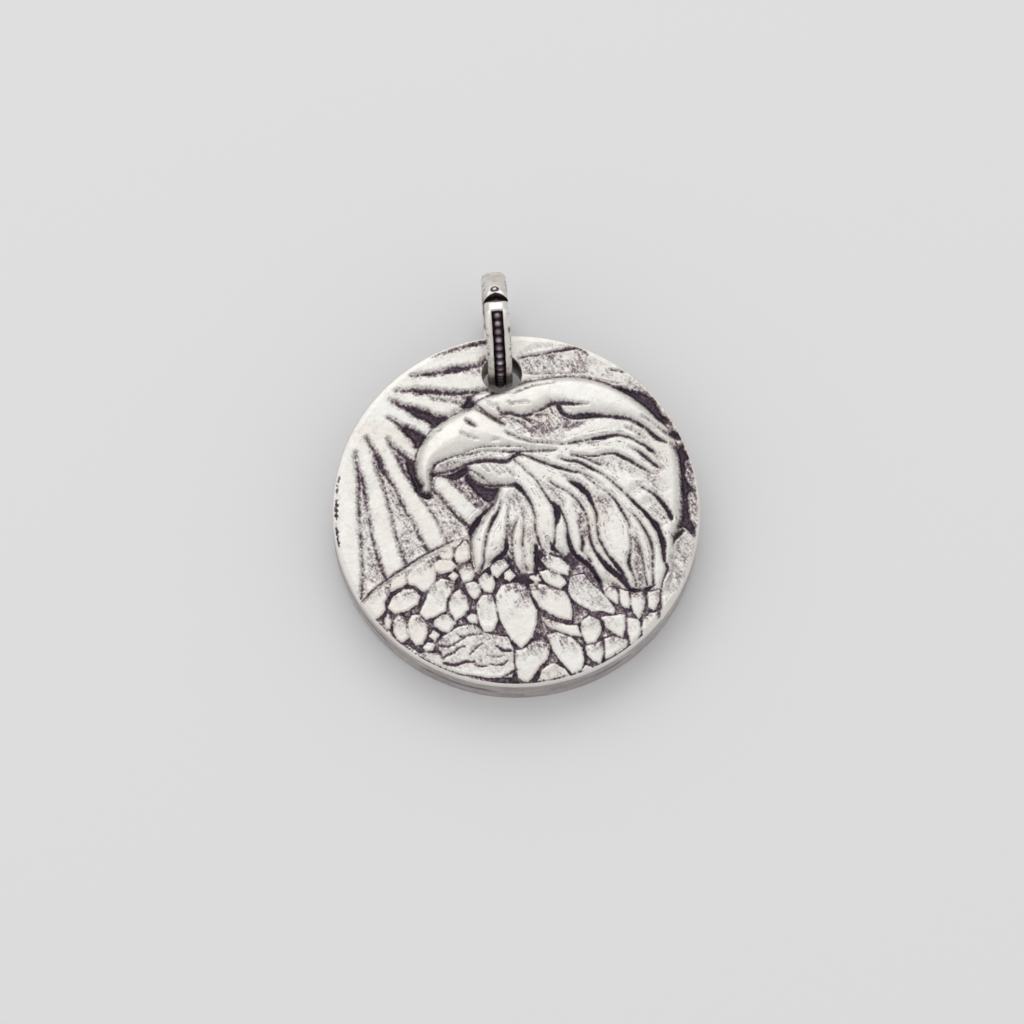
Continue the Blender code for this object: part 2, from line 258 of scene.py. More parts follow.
# rough ground: the share of dark, and then a closed outline
STIPPLE = [
    (.45, -3.4,8.05, -2.6,8.05, -1.9,7.95, -1.3,7.75, -.95,8.1, -1.1,8.45, -2.2,8.5, -3.2,8.3),
    (.45, -4.3,6.98, -3.2,6.85, -2.3,6.8, -1.9,6.6, -2.1,6.25, -2.6,6.5, -3.2,6.62, -3.9,6.78),
    (.6, -6.4,4.15, -6,4.15, -5.7,3.7, -5.35,3.35, -5.2,2.9, -5.3,2.1, -5.6,2.3, -5.85,2.8,
     -6.05,3.4),
    (.3, -7.3,3.6, -6.95,2.9, -6.5,1.9, -6.1,.8, -5.6,-.3, -5.3,-1.2, -5,-1.95, -5.6,-2.2,
     -6.2,-2.6, -6.5,-1.8, -6.62,-.8, -6.8,.5, -6.95,1.6, -7.1,2.6),
    (.3, -8.35,3, -8.15,2.7, -8.05,1.2, -7.95,-.3, -7.8,-1.4, -7.65,-2.5, -7.45,-3.2, -8.1,-3.6,
     -8.8,-4.2, -8.68,-3, -8.55,-1.5, -8.5,.2, -8.4,1.5),
    (.35, -4.9,1.05, -4.3,1.15, -3.7,.5, -3.2,-.15, -2.6,-.8, -2.6,-1.15, -3.4,-1.45, -3.9,-1.6,
     -4.1,-.9, -4.5,.2),
    (.55, -3.3,1.95, -2.9,2.15, -2.3,1.7, -1.6,1.2, -1,.9, -1.1,.6, -1.6,.1, -2.05,.3, -2.4,.8,
     -2.9,1.45),
    # band at the top right
    (.3, 1.05,8.6, 3.5,8.8, 4.4,8.75, 4.7,8.35, 4.65,7.4, 3.2,7.45, 1.5,7.68, 1.1,7.85),
    (.2, 4.7,8.4, 5.4,8.1, 6.9,7.1, 7.6,6.3, 7.4,6.05, 6.5,6.4, 5.4,6.9, 4.7,7.2),
    (.2, 2,9.25, 3,9.3, 3.8,9.05, 3.4,8.9, 2.2,8.9, 1,8.75),
    (.35, .8,7.3, 2.5,7.5, 4.6,7.4, 4.5,7.2, 2.8,7.35, 1.3,7.15),
    # eye socket
    (.42, 0,5.1, .6,5.05, 1.3,5.15, 2.1,5.4, 2.8,5.6, 3,5, 3.6,4.7, 4.6,4.6, 4.9,4.65, 4.2,4.3,
     3.3,4.05, 2.4,3.95, 1.6,3.85, .9,3.95, .4,4.2, 0,4.6),
    (.25, -.2,4.75, .35,4.25, .9,3.9, 2.2,3.6, 3,3.5, 3,3.9, 2.2,4, 1.2,4, .4,4.3),
    # lower mandible
    (.3, -4.1,2.85, -3.7,3, -2.6,3.25, -1.4,3.4, 0,3.35, .2,3.25, -.4,2.95, -1.5,3, -2.3,2.95,
     -3,2.7, -3.8,2.55),
    (.6, 9.4,1.8, 9.8,1.7, 9.9,.5, 9.9,-.6, 9.8,-1.8, 9.6,-2.6, 9.4,-1.8, 9.35,-.5, 9.4,.6),
    (.6, 7.4,6.05, 7.9,5.85, 8.2,5.45, 8.3,5.05, 8.05,4.8, 7.7,5.1, 7.45,5.6),
    # neck
    (.22, 4.3,2.35, 5.4,2.45, 6.1,2.05, 6.8,1.6, 7.6,1.15, 8.3,.5, 7.6,.3, 6.8,.9, 5.9,1.3, 5.2,1.5,
     4.8,1.9),
    (.15, 5.9,.3, 7.2,1, 8.4,.3, 7.6,-.1, 6.9,.3, 6.4,-.1),
    (.35, 3.5,3.45, 4.6,3.45, 4.7,3.15, 3.9,3.1, 3.4,3.25),
    (.4, 1.5,1.15, 2,1.15, 2.5,.6, 2.75,-.1, 2.4,-.1, 2,.5),
    (.45, 2.5,1.8, 3.2,1.5, 3.9,.8, 3.6,.5, 3.1,1.1),
    (.5, 3.3,.1, 3.55,-.5, 3.7,-1.2, 3.75,-2, 3.4,-2, 3.2,-1, 3,-.3),
    (.25, 4.2,.3, 5,.2, 5.3,-.4, 5.1,-1.4, 4.6,-1, 4.35,-.5),
    (.55, 6,-2, 6.35,-2.2, 6.5,-3.2, 6.5,-4.3, 6.5,-5, 6.05,-5, 5.95,-4, 6.05,-3),
    (.22, 6.7,-.4, 7.4,-.1, 8,-.8, 8.2,-1.5, 7.8,-1.9, 7.4,-1.5, 7,-.9),
    (.3, 8.3,-2.5, 8.8,-2.2, 9.3,-2.5, 9.4,-3.1, 8.9,-4, 8.5,-5, 8,-5.6, 7.5,-5.6, 7.8,-4.5,
     8.1,-3.4),
    (.25, -.6,.6, .3,1.1, .7,.4, .75,-1.2, .7,-2.2, .2,-1.6, -.1,-.9, -.5,-.2),
    (.5, -.5,-.6, -.25,-1.1, -.5,-2, -.5,-2.7, -1.3,-2.8, -1,-2, -.75,-1.2),
]

FACE_LINES = points_of(3,
    # forehead seam, nostril and marks on the beak
    (-1.75,6,.1, -1.3,5.68,.12, -.9,5.35,.16, -.5,5.05,.2, -.15,4.8,.14),
    (-2.24,5.27,.1, -2.02,5.03,.21, -1.76,4.83,.11),
    (-3.8,4.87,.08, -3.7,4.87,.08),
    (-2.55,4.52,.02, -2.1,4.22,.07, -1.7,4.05,.03),
    (-.9,3.9,.04, -.75,3.93,.07, -.6,3.92,.04),
    # mouth lines
    (-4.4,1.9,.1, -4.35,2.4,.14, -4.15,2.85,.16, -3.75,3.06,.13, -3.23,3.22,.1, -2.6,3.33,.1,
     -1.94,3.55,.06, -1.3,3.61,.06, -.65,3.56,.06, .1,3.5,.06, .9,3.38,.04),
    (-2.9,3.2,.06, -2.2,3.3,.1, -1.5,3.38,.09, -.6,3.3,.09, 0,3.2,.16, .6,3.16,.15, 1.5,3.12,.12,
     2.1,3.08,.13, 2.5,3.05,.05),
    (-4.1,2.45,.15, -3.36,2.48,.15, -2.78,2.65,.16, -2.2,2.8,.2, -1.55,2.87,.24, -.91,2.8,.26,
     -.33,2.7,.28, 0,2.83,.22, .4,3.08,.22),
    # chin, with its hatching
    (-2.45,2.35,.12, -2.2,1.95,.16, -1.7,1.6,.16, -1.1,1.42,.18, -.4,1.33,.18, .1,1.33,.25),
    (-1.57,2.6,.05, -1.3,2.22,.07),
    (-1.1,2.62,.06, -.9,2.3,.08, -.7,1.98,.05),
    (-.85,2.55,.05, -.45,2.08,.07),
    (-.6,2.5,.05, -.2,2.15,.08, .1,1.8,.05),
    # brow: upper outline, inner line, scribbles, lower contour
    (-.6,6.75,.3, 0,6.82,.26, .65,7.08,.1, 1.3,7.2,.09, 1.9,7.32,.06, 2.6,7.38,.05, 3.9,7.28,.06,
     4.5,7.13,.09, 5,6.92,.13, 5.5,6.7,.13, 6,6.42,.16, 6.45,6.15,.25),
    (.5,6.55,.04, .97,6.68,.08, 1.5,6.84,.08, 2,6.9,.06, 2.7,6.93,.03),
    (.2,6.02,.02, .35,5.9,.06, .65,5.9,.05, 1.1,5.9,.07, 1.3,5.85,.02),
    (-.95,6.15,.03, -.8,5.95,.06, -.65,5.8,.03),
    (-.5,5.9,.05, -.3,5.5,.12, 0,5.2,.12),
    (-.3,5.35,.1, .2,5.4,.22, .65,5.22,.15, 1.16,5.19,.2, 1.55,5.32,.16, 2,5.46,.2, 2.3,5.62,.2,
     2.7,5.72,.25, 3.2,5.66,.25, 3.74,5.56,.18, 4.2,5.5,.1, 4.5,5.48,.03),
    (2.85,5.6,.25, 3,5.2,.3, 3.35,4.92,.3, 3.6,4.86,.34, 4,4.84,.38, 4.45,4.84,.38, 4.9,4.8,.28,
     5.5,4.7,.2, 6.06,4.58,.24, 6.58,4.44,.2, 6.97,4.23,.2, 7.42,3.87,.2, 7.74,3.55,.24,
     8.06,3.2,.28, 8.4,3,.16, 8.6,2.85,.05),
    # eye scribbles
    (.1,5.15,.1, .55,4.95,.14, .9,4.62,.1, 1.25,4.32,.1, 1.6,4.1,.1),
    (.95,5.1,.2, 1.3,4.82,.14),
    (1.6,5.15,.18, 2,5.2,.12),
    (1.9,4.1,.05, 2.4,4.2,.1, 2.8,4.38,.06),
    (3.15,4.15,.05, 3.7,4.35,.1, 4.2,4.48,.06),
    (3,4.9,.1, 3.35,4.6,.12, 3.1,4.5,.05),
    (-.1,4.35,.08, .1,4.2,.12, .35,4.1,.06),
    (.4,4,.1, .97,3.77,.13, 1.5,3.62,.1, 2,3.54,.1, 2.6,3.42,.08, 3,3.36,.06),
    # brow's tail
    (7.35,4.5,.05, 7.74,4.2,.06, 8.13,3.84,.08, 8.6,3.45,.12),
    # top right
    (1.03,8.6,.1, 1.6,8.67,.12, 2.26,8.68,.14, 2.77,8.77,.14, 3.5,8.84,.2, 4.13,8.87,.15,
     4.45,8.77,.1, 4.65,8.6,.12, 4.76,8.4,.08),
    (4.66,8.2,.04, 4.62,7.8,.06, 4.62,7.4,.08),
    (1.3,7.74,.1, 1.94,7.6,.08, 2.6,7.55,.08, 3.2,7.48,.06, 3.9,7.45,.08, 4.5,7.42,.08),
    (5.9,7.45,.06, 6.3,7.35,.14, 6.8,7.18,.05),
    (6.98,6.86,.05, 6.9,6.6,.09, 6.83,6.35,.06),
    (7.15,6.25,.08, 7.4,6.18,.1, 7.58,6.12,.05),
    (5.4,6.88,.06, 5.6,6.8,.09, 6.3,6.6,.04),
)

NECK_LINES = points_of(3,
    (.4,3.06,.22, .84,2.9,.15, 1.2,2.7,.17, 1.68,2.45,.2, 2,2.3,.16, 2.4,2.1,.2, 2.9,1.9,.2,
     3.35,1.74,.17, 3.8,1.6,.12, 4.4,1.16,.06, 4.8,.77,.04),
    (2.58,2.6,.06, 3.03,2.42,.15, 3.5,2.32,.2, 3.87,2.13,.22, 4.26,1.86,.22, 4.65,1.6,.17,
     4.95,1.38,.1, 5.16,1.16,.13, 5.8,.45,.14, 6.2,-.06,.18, 6.5,-.45,.22, 6.84,-.84,.22,
     7.16,-1.3,.3, 7.42,-1.68,.38, 7.6,-2.2,.34, 7.7,-2.8,.38, 7.7,-3.3,.28, 7.68,-3.74,.2,
     7.8,-4.2,.24, 7.55,-4.7,.15, 7.4,-5.1,.15, 7.28,-5.7,.08),
    (3.3,2.7,.1, 3.74,2.58,.15, 4.13,2.4,.16, 4.5,2.16,.16, 4.92,1.94,.1),
    (3.3,2.75,.08, 3.87,2.62,.12, 4.5,2.52,.12, 5.1,2.58,.15, 5.6,2.58,.2, 6.06,2.32,.27,
     6.45,2.06,.24, 6.84,1.74,.2, 7.16,1.5,.15, 7.5,1.23,.12, 7.8,1.15,.04),
    (3.2,3.39,.1, 3.6,3.42,.18, 4.13,3.48,.15, 4.65,3.52,.2, 5.03,3.52,.27, 5.5,3.58,.22,
     5.94,3.58,.18, 6.39,3.45,.15, 6.7,3.3,.14, 7.03,3.03,.14, 7.35,2.84,.18, 7.6,2.58,.24,
     7.9,2.3,.08),
    (6.5,2.8,.06, 6.9,2.58,.15, 7.16,2.32,.22, 7.42,2.06,.22, 7.68,1.77,.2, 7.94,1.55,.13,
     8.15,1.4,.04),
    (7.72,2.5,.1, 7.9,2.2,.1, 8.1,1.9,.04),
    (6.4,4,.06, 6.84,3.74,.08, 7.16,3.48,.12, 7.42,3.24,.08),
    (.05,1.38,.25, .26,1.16,.32, .5,.84,.27, .7,.45,.2, .84,.06,.17, .97,-.6,.12, .9,-1.16,.13,
     .97,-1.68,.15, 1.05,-2.13,.18, 1.2,-2.5,.15, 1.4,-2.77,.08),
    (.1,2.9,.12, .25,2.6,.1, .52,2.35,.08, .75,2.02,.09, 1.03,1.75,.1, 1.3,1.35,.1, 1.48,.97,.12,
     1.68,.58,.15, 1.87,.2,.2, 2.1,-.1,.34, 2.2,-.5,.48, 2.15,-.85,.36, 2,-1.25,.14, 1.94,-1.74,.12,
     1.87,-2.1,.2, 1.74,-2.4,.34, 1.95,-2.65,.22, 2.3,-2.9,.1),
    (2.25,-.2,.3, 2.45,-.6,.2, 2.58,-.95,.15, 2.65,-1.42,.15, 2.63,-1.94,.25, 2.7,-2.45,.3,
     2.84,-2.84,.34, 3.1,-3.16,.34, 3.42,-3.42,.38, 3.68,-3.74,.34, 3.87,-4.13,.3, 4.06,-4.58,.28,
     4.2,-5,.15),
    (1.55,-1.9,.06, 1.65,-2.1,.15, 1.74,-2.35,.3),
    (1.94,1.35,.08, 2.26,1.05,.15, 2.58,.84,.13, 2.9,.62,.13, 3.2,.3,.15, 3.4,0,.18, 3.6,-.4,.15,
     3.74,-.84,.12, 3.8,-1.3,.13, 3.8,-1.94,.2, 3.87,-2.45,.2, 4,-2.84,.2, 4.2,-3.2,.25,
     4.45,-3.6,.34, 4.77,-4,.38, 5.16,-4.4,.38, 5.42,-4.77,.3, 5.68,-5.16,.25, 5.95,-5.3,.18),
    (3,1.25,.12, 3.25,1.1,.3, 3.48,.93,.36, 3.74,.66,.4, 3.94,.39,.34, 4.06,.06,.28, 4.2,-.4,.2,
     4.3,-.84,.18, 4.26,-1.3,.12, 4.26,-1.74,.15, 4.3,-2.2,.15, 4.45,-2.58,.15, 4.65,-3.1,.2,
     4.9,-3.48,.25, 5.1,-3.8,.3, 5.35,-4.26,.25, 5.55,-4.77,.2, 5.7,-5.1,.15),
    (3.3,-1.2,.06, 3.35,-1.8,.1, 3.4,-2.3,.22, 3.3,-2.7,.16, 3.5,-3,.1, 3.7,-3.4,.16),
    (3.87,1.48,.08, 4.26,1.1,.1, 4.65,.7,.06, 4.97,.45,.1, 5.25,.1,.14, 5.48,-.26,.15, 5.68,-.7,.19,
     5.87,-1.16,.15, 6,-1.6,.09, 5.96,-2,.06, 6,-2.4,.08, 5.94,-2.9,.1, 5.8,-3.4,.2, 5.75,-3.75,.25,
     5.87,-4.2,.15, 6,-4.65,.1, 6,-5.05,.1),
    (6.1,-.8,.06, 6.45,-1.2,.12, 6.7,-1.68,.15, 6.9,-2.13,.18, 7.03,-2.58,.2, 7.1,-3.1,.15,
     7.06,-3.6,.15, 7,-4.13,.12, 6.97,-4.65,.12, 6.9,-5.1,.16),
    (6.3,-2.3,.08, 6.4,-2.8,.15, 6.48,-3.3,.14, 6.53,-4,.12, 6.55,-4.5,.12, 6.6,-5,.16),
    (5.6,-5.15,.2, 6,-5.2,.2, 6.3,-5.27,.2, 6.7,-5.18,.28, 7,-5.05,.15),
    (6.84,.55,.06, 7.2,.3,.12, 7.55,.02,.2, 7.94,-.52,.28, 8.17,-.95,.3, 8.3,-1.32,.3,
     8.3,-1.5,.12),
    (8.84,-2.1,.25, 8.5,-2.4,.28, 8.3,-2.75,.15, 8.28,-3.1,.05),
    (8.7,-2.6,.05, 8.5,-3.1,.12, 8.75,-3.4,.06, 8.9,-3.7,.05),
    (8.2,-3.4,.05, 8.1,-3.7,.1, 8.35,-4.2,.08, 8.3,-4.7,.1, 8.4,-5.1,.05),
    # throat
    (-1.05,.8,.15, -1.3,.35,.2, -1.88,-.13,.28, -2.2,-.5,.4, -2.5,-.85,.4, -2.62,-1.3,.2,
     -2.68,-1.87,.1, -2.68,-2.45,.1, -2.66,-3,.08),
    (-.8,.5,.06, -.97,0,.15, -1.3,-.5,.24, -1.55,-.97,.15, -1.75,-1.42,.12, -1.88,-1.94,.12,
     -2,-2.45,.12, -2.04,-2.9,.15, -2.3,-3.35,.15),
    (-.2,.6,.05, -.45,-.2,.08, -.55,-.8,.1, -.65,-1.4,.12, -.72,-1.8,.22, -.75,-2.2,.3,
     -1,-2.55,.35, -1.36,-2.72,.25, -1.6,-2.9,.15),
    (.05,.9,.06, .2,.3,.1, .35,-.4,.06, .3,-1.2,.08, .2,-1.7,.1, .13,-2.2,.1, .18,-2.7,.06,
     .15,-3.1,.08, .26,-3.55,.15),
    (.05,-.6,.06, -.2,-1,.14, -.38,-1.5,.14, -.45,-2.1,.12, -.46,-2.6,.13, -.4,-3.1,.15,
     -.2,-3.6,.18),
    (.85,-2.2,.25, .82,-2.6,.34, .8,-3,.34, .76,-3.4,.3, .7,-3.85,.2),
)

SHOULDER_LINES = points_of(3,
    (-9.1,-4.6,.04, -8.7,-4.28,.09, -8,-3.68,.12, -7.2,-3.18,.1, -6.2,-2.62,.12, -5.2,-2.08,.1,
     -4.3,-1.72,.12, -3.5,-1.4,.04),
)

# the body, a dark ground that the feathers rise from
BODY = points_of(2,
    (-9.2,-4.75, -8.9,-4.5, -8,-3.75, -7.2,-3.25, -6.2,-2.7, -5.2,-2.15, -4.3,-1.8, -3.4,-1.45,
     -2.7,-1.2, -2.65,-2.6, -2.6,-3.3, -2.3,-3.5, -2,-3.2, -1.6,-2.95, -1.2,-2.75, -.7,-2.6,
     -.45,-2.9, -.3,-3.6, .2,-3.7, .7,-3.7, .8,-2.8, 1,-2.4, 1.4,-2.8, 1.8,-2.6, 2.3,-2.95,
     2.7,-2.6, 3.1,-3.2, 3.6,-3.7, 3.95,-4.4, 4.3,-5.1, 4.8,-4.6, 5.4,-5.1, 6,-5.3, 7,-5.2,
     7.35,-5.3, 7.3,-6.2, 7,-7.3, 5,-9.5, 0,-10.5, -5,-9.5, -8,-7),
)[0]

# the feathers on it
LOBES = points_of(2,
    (-8.85,-4.72, -8.3,-4.25, -7.7,-3.85, -7.2,-3.6, -7.3,-4.1, -7.65,-4.6, -7.6,-5, -8,-5.4,
     -8.3,-5.5),
    (-7.8,-3.85, -7,-3.42, -6.35,-3.1, -6.3,-3.6, -6.6,-3.8, -7.2,-3.98),
    (-6.3,-3.3, -5.9,-2.92, -5.2,-2.45, -4.7,-2.3, -4.6,-2.7, -4.7,-3.3, -4.8,-3.7, -5.1,-4.1,
     -5.5,-4.15, -5.85,-3.8, -6.2,-3.7),
    (-4.75,-2.6, -4.3,-2.5, -3.8,-2.6, -3.6,-2.9, -3.8,-3.2, -4.4,-3.25, -4.8,-3.1),
    (-4.4,-2.2, -4.1,-1.95, -3.7,-1.95, -3.65,-2.3, -3.8,-2.55, -4.2,-2.6),
    (-3.6,-2.3, -3.3,-1.9, -2.9,-1.6, -2.75,-2, -2.8,-2.6, -3.2,-2.75, -3.5,-2.7),
    (-3.4,-3.3, -3.1,-2.9, -2.8,-2.95, -2.62,-3.4, -2.85,-3.85, -3.25,-3.85),
    (-4,-3.5, -3.75,-3.25, -3.5,-3.5, -3.75,-3.75),
    (-2.4,-3.8, -2.05,-3.5, -1.65,-3.75, -1.6,-4.2, -1.8,-4.6, -2.15,-4.5, -2.4,-4.1),
    (-3.15,-4, -2.8,-3.9, -2.45,-4.1, -2.4,-4.5, -2.7,-4.9, -3,-4.6),
    (-1.7,-3.2, -1.4,-2.9, -.95,-2.85, -.75,-3.2, -1.1,-3.5, -1.4,-3.8, -1.65,-3.6),
    (-1,-3.6, -.7,-3.45, -.45,-3.8, -.75,-4.05, -1,-3.9),
    (-7.45,-4.9, -7.1,-4.35, -6.5,-4.02, -6,-4.05, -5.7,-4.4, -5.85,-4.85, -6.4,-5.15, -7.1,-5.25),
    (-4.9,-3.85, -4.4,-3.6, -3.75,-3.85, -3.9,-4.3, -4.25,-4.7, -4.4,-5.4, -5,-5.65, -5.5,-5.75,
     -5.75,-5.4, -5.4,-4.8, -5.2,-4.3),
    (-4.15,-5, -3.9,-4.5, -3.5,-4.3, -3.2,-4.7, -3.15,-5.4, -3.5,-5.75, -3.9,-5.95, -4.1,-5.5),
    (-2.65,-5.2, -2.3,-4.75, -1.85,-4.75, -1.65,-5.4, -1.65,-6.2, -1.95,-6.75, -2.4,-6.75,
     -2.65,-6),
    (-5,-5.9, -4.6,-5.6, -4.2,-5.65, -3.95,-6.1, -4.3,-6.6, -4.7,-6.45, -5,-6.2),
    (-3.25,-5.9, -3,-5.7, -2.7,-5.85, -2.75,-6.2, -3.05,-6.2),
    (-7.7,-5.6, -7.5,-5.3, -7.35,-5.7, -7.5,-6.1, -7.7,-6),
    (-8.2,-5.6, -7.9,-5.6, -7.6,-6.1, -7.4,-6.5, -7.2,-6.7, -7.6,-6.55),
    (-7.25,-6.3, -7.2,-5.7, -6.9,-5.45, -6.6,-5.6, -6.55,-6.2, -6.5,-6.7, -6.9,-6.9, -7.15,-6.7),
    (-6.5,-6.4, -6.45,-5.9, -6.2,-5.5, -5.8,-5.5, -5.5,-6, -5.5,-6.6, -5.8,-7.1, -6.15,-7.1,
     -6.35,-6.8),
    (-5.4,-6.7, -5.1,-6.45, -4.85,-6.7, -5.1,-6.98),
    (-5.75,-7.3, -5.5,-7.1, -5.15,-7.2, -5.3,-7.5, -5.6,-7.55),
    (-6,-7.7, -5.6,-7.6, -5,-7.8, -4.6,-8.3, -4.85,-8.5, -5.4,-8.15),
    (-7.1,-7, -6.6,-7.2, -6.2,-7.5, -5.9,-7.75, -6.2,-7.75, -6.8,-7.25),
    # fine-feathered patch at the lower left, drawn with lines over it
    (-4.85,-7, -4.4,-6.7, -3.8,-6.4, -3,-6.3, -2.4,-6.85, -1.8,-7.1, -1.2,-7.2, -1,-7.9, -1.05,-8.9,
     -1.2,-9.4, -2.5,-9.3, -4,-8.9, -4.9,-8.5, -4.6,-8, -4.9,-7.5),
    (-1.6,-4.9, -1.2,-4.3, -.5,-4.2, 0,-4.4, .25,-5.2, .5,-5.9, .4,-6.6, .1,-7.3, -.5,-7.85,
     -1,-7.3, -1.4,-6.4, -1.6,-5.6),
    (-.8,-8, -.4,-7.95, .2,-7.6, .7,-7.5, 1,-7.9, .8,-8.6, .3,-9, -.1,-9.5, -.4,-9.8, -.8,-9.5,
     -.9,-8.7),
    (.5,-9.2, 1.1,-8.9, 1.7,-9.3, 1.9,-9.65, 1,-9.8, .2,-9.85),
    (.3,-4.4, .4,-5, .7,-5.6, 1.2,-6.05, 1.8,-6.4, 2.3,-6.55, 2.4,-6, 2.3,-5.3, 2.1,-4.95,
     1.6,-4.75, 1.1,-4.5, .6,-4.3),
    (1.05,-3, 1.5,-2.85, 2.1,-3.1, 2.5,-3.6, 2.4,-4, 1.9,-3.9, 1.4,-3.55),
    (.9,-3.75, 1.4,-3.65, 2,-4, 2.25,-4.5, 1.9,-4.75, 1.45,-4.5, 1.1,-4.2),
    (.35,-3.95, .75,-3.85, .9,-4.2, .6,-4.3),
    (2.55,-4.2, 3.2,-4.1, 3.6,-4.7, 4,-5.1, 4.4,-5.6, 4.7,-6.2, 4.6,-6.45, 4.1,-6.2, 3.5,-6.15,
     2.9,-5.75, 2.45,-5.3, 2.35,-4.8),
    (4.3,-4.9, 4.8,-5, 5,-5.4, 4.9,-5.9, 4.6,-5.7, 4.3,-5.35),
    (5.1,-5.15, 5.5,-5.3, 5.6,-5.8, 5.5,-6.2, 5.2,-6.1, 5.05,-5.7),
    (5.7,-5.5, 6.3,-5.4, 6.4,-5.8, 6.2,-6.4, 5.95,-6.85, 5.75,-6.5, 5.6,-6),
    (6.6,-5.45, 7.2,-5.4, 7.1,-6, 6.8,-6.45, 6.55,-6.2),
    (6.2,-7, 6.6,-6.65, 6.98,-6.6, 6.95,-7, 6.4,-7.55, 6.12,-7.75, 6.05,-7.4),
    (2.85,-6.75, 3.3,-6.45, 3.8,-6.75, 3.85,-7.3, 3.45,-7.95, 3.05,-7.95, 2.8,-7.4),
    (4,-6.6, 4.6,-6.55, 5.2,-6.6, 5.15,-7.3, 4.95,-7.8, 4.5,-7.45, 4.15,-7.1),
    (2.95,-8.1, 3.85,-7.95, 3.85,-8.5, 3.6,-9.1, 3.3,-8.95, 3,-8.55),
    (4,-7.85, 4.4,-7.7, 5.2,-8, 5.1,-8.35, 4.3,-8.75, 3.95,-8.9),
    (.95,-7.3, 1.5,-7.2, 2.2,-7.55, 2.7,-8.2, 2.75,-8.9, 2.55,-9.5, 2.1,-9.6, 1.7,-9, 1.2,-8.2),
    (.8,-6.3, 1.4,-6.6, 2,-6.85, 2.6,-6.95, 2.75,-7.5, 2.2,-7.4, 1.6,-7.1, 1,-6.75),
    (5.35,-6.8, 5.9,-6.9, 6,-7.5, 5.75,-7.95, 5.4,-8.2, 5.3,-7.5),
    (2.8,-9.2, 3.1,-9.3, 3.2,-9.45, 2.7,-9.6, 2.6,-9.4),
)

BODY_LINES = points_of(3,
    (-3.9,-6.75,.06, -3.6,-6.95,.13, -3,-6.85,.1, -2.5,-6.9,.05),
    (-4.9,-7.3,.14, -4.4,-7.4,.13, -3.9,-7.2,.1, -3.5,-7,.05),
    (-4.8,-7.95,.14, -4.2,-7.8,.13, -3.9,-7.55,.12, -3.5,-7.48,.05),
    (-3.3,-7.95,.08, -2.9,-7.6,.13, -2.6,-7.42,.05),
    (-4.7,-8.3,.16, -4.2,-8.45,.18, -3.6,-8.35,.16, -3.1,-8.4,.1),
    (-3.1,-8.55,.08, -2.7,-8.7,.14, -2.3,-8.6,.05),
    (-2.2,-8.65,.08, -1.7,-8.7,.12, -1.3,-8.5,.05),
    (-1.8,-7.65,.12, -1.5,-7.9,.18, -1.1,-7.95,.15),
    (-2.4,-8.1,.05, -1.9,-8.25,.08, -1.5,-8.2,.04),
    (-1.7,-9.4,.06, -1.2,-9.2,.13, -.9,-9.05,.15),
)

BODY_STIPPLE = [
    (.22, -4.7,-7, -3,-6.4, -1.2,-7.2, -1.1,-9.2, -4.6,-8.6),
    (.22, -4.8,-3.9, -3.9,-3.8, -4.1,-4.6, -4.6,-5.2, -4.9,-4.5),
    (.25, 2.5,-4.2, 3.6,-4.7, 4.6,-6.3, 3.4,-6.1, 2.4,-5.2),
    (.15, -2.6,-5.2, -1.8,-4.9, -1.8,-6.2, -2.5,-6.2),
    (.25, .5,-9.2, 1.7,-9.2, 1.9,-9.7, .2,-9.9),
    (.45, 2.3,-3, 2.8,-3.2, 3.4,-4, 3.5,-4.6, 2.5,-4.1),
]

# the raised shapes
HEAD_OUTLINE = points_of(2,
    (-4.75,1.3, -5.25,2.7, -4.7,4.3, -3.5,5.3, -2.1,5.95, -1,6.45, 1.5,7.1, 4.2,7.1, 6.2,6.3,
     7.9,4.7, 8.9,3.2, 9.1,1.6, 9,0, 8.6,-2, 8.2,-3.5, 7.5,-5.3, 5.8,-5.2, 3.8,-4.2, 2.4,-2.8,
     .8,-3.6, -.3,-3.7, -1.5,-2.9, -2.5,-3.3, -2.6,-1.6, -1,.6, -1.2,1.5, -2.3,2.5, -3.2,2.6,
     -4.2,2.3),
)[0]
BROW_OUTLINE = points_of(2,
    (-1.75,6.5, -1.2,6.85, -.4,6.85, 1,7.15, 2.8,7.35, 4.8,7, 7,5.7, 9,3.4, 7.6,4, 5.4,4.9, 4.2,5,
     3.4,5.4, 2.4,5.75, 1.2,5.2, .2,5.4, -.5,5.2, -1.2,5.75),
)[0]
BEAK_OUTLINE = points_of(2,
    (-4.7,1.35, -5.1,2.8, -4.5,4.2, -3.2,5.3, -2.1,5.8, -1.2,5.5, -.3,4.7, .6,3.9, 2.2,3.3, -1,3.5,
     -3.2,3.2, -4.15,2.8, -4.4,2),
)[0]
CHIN_OUTLINE = points_of(2,
    (-2.45,2.35, -2,2.65, -1,2.6, 0,2.4, .1,1.6, -.6,1.45, -1.5,1.7, -2.2,2),
)[0]


# ---- the relief: height in millimetres above the plain face, and how dark the oxide and the painted shade are


def add(state, at, cut, tone):
    state["cut"][at] = np.maximum(state["cut"][at], cut)
    state["tone"][at] = np.maximum(state["tone"][at], tone)


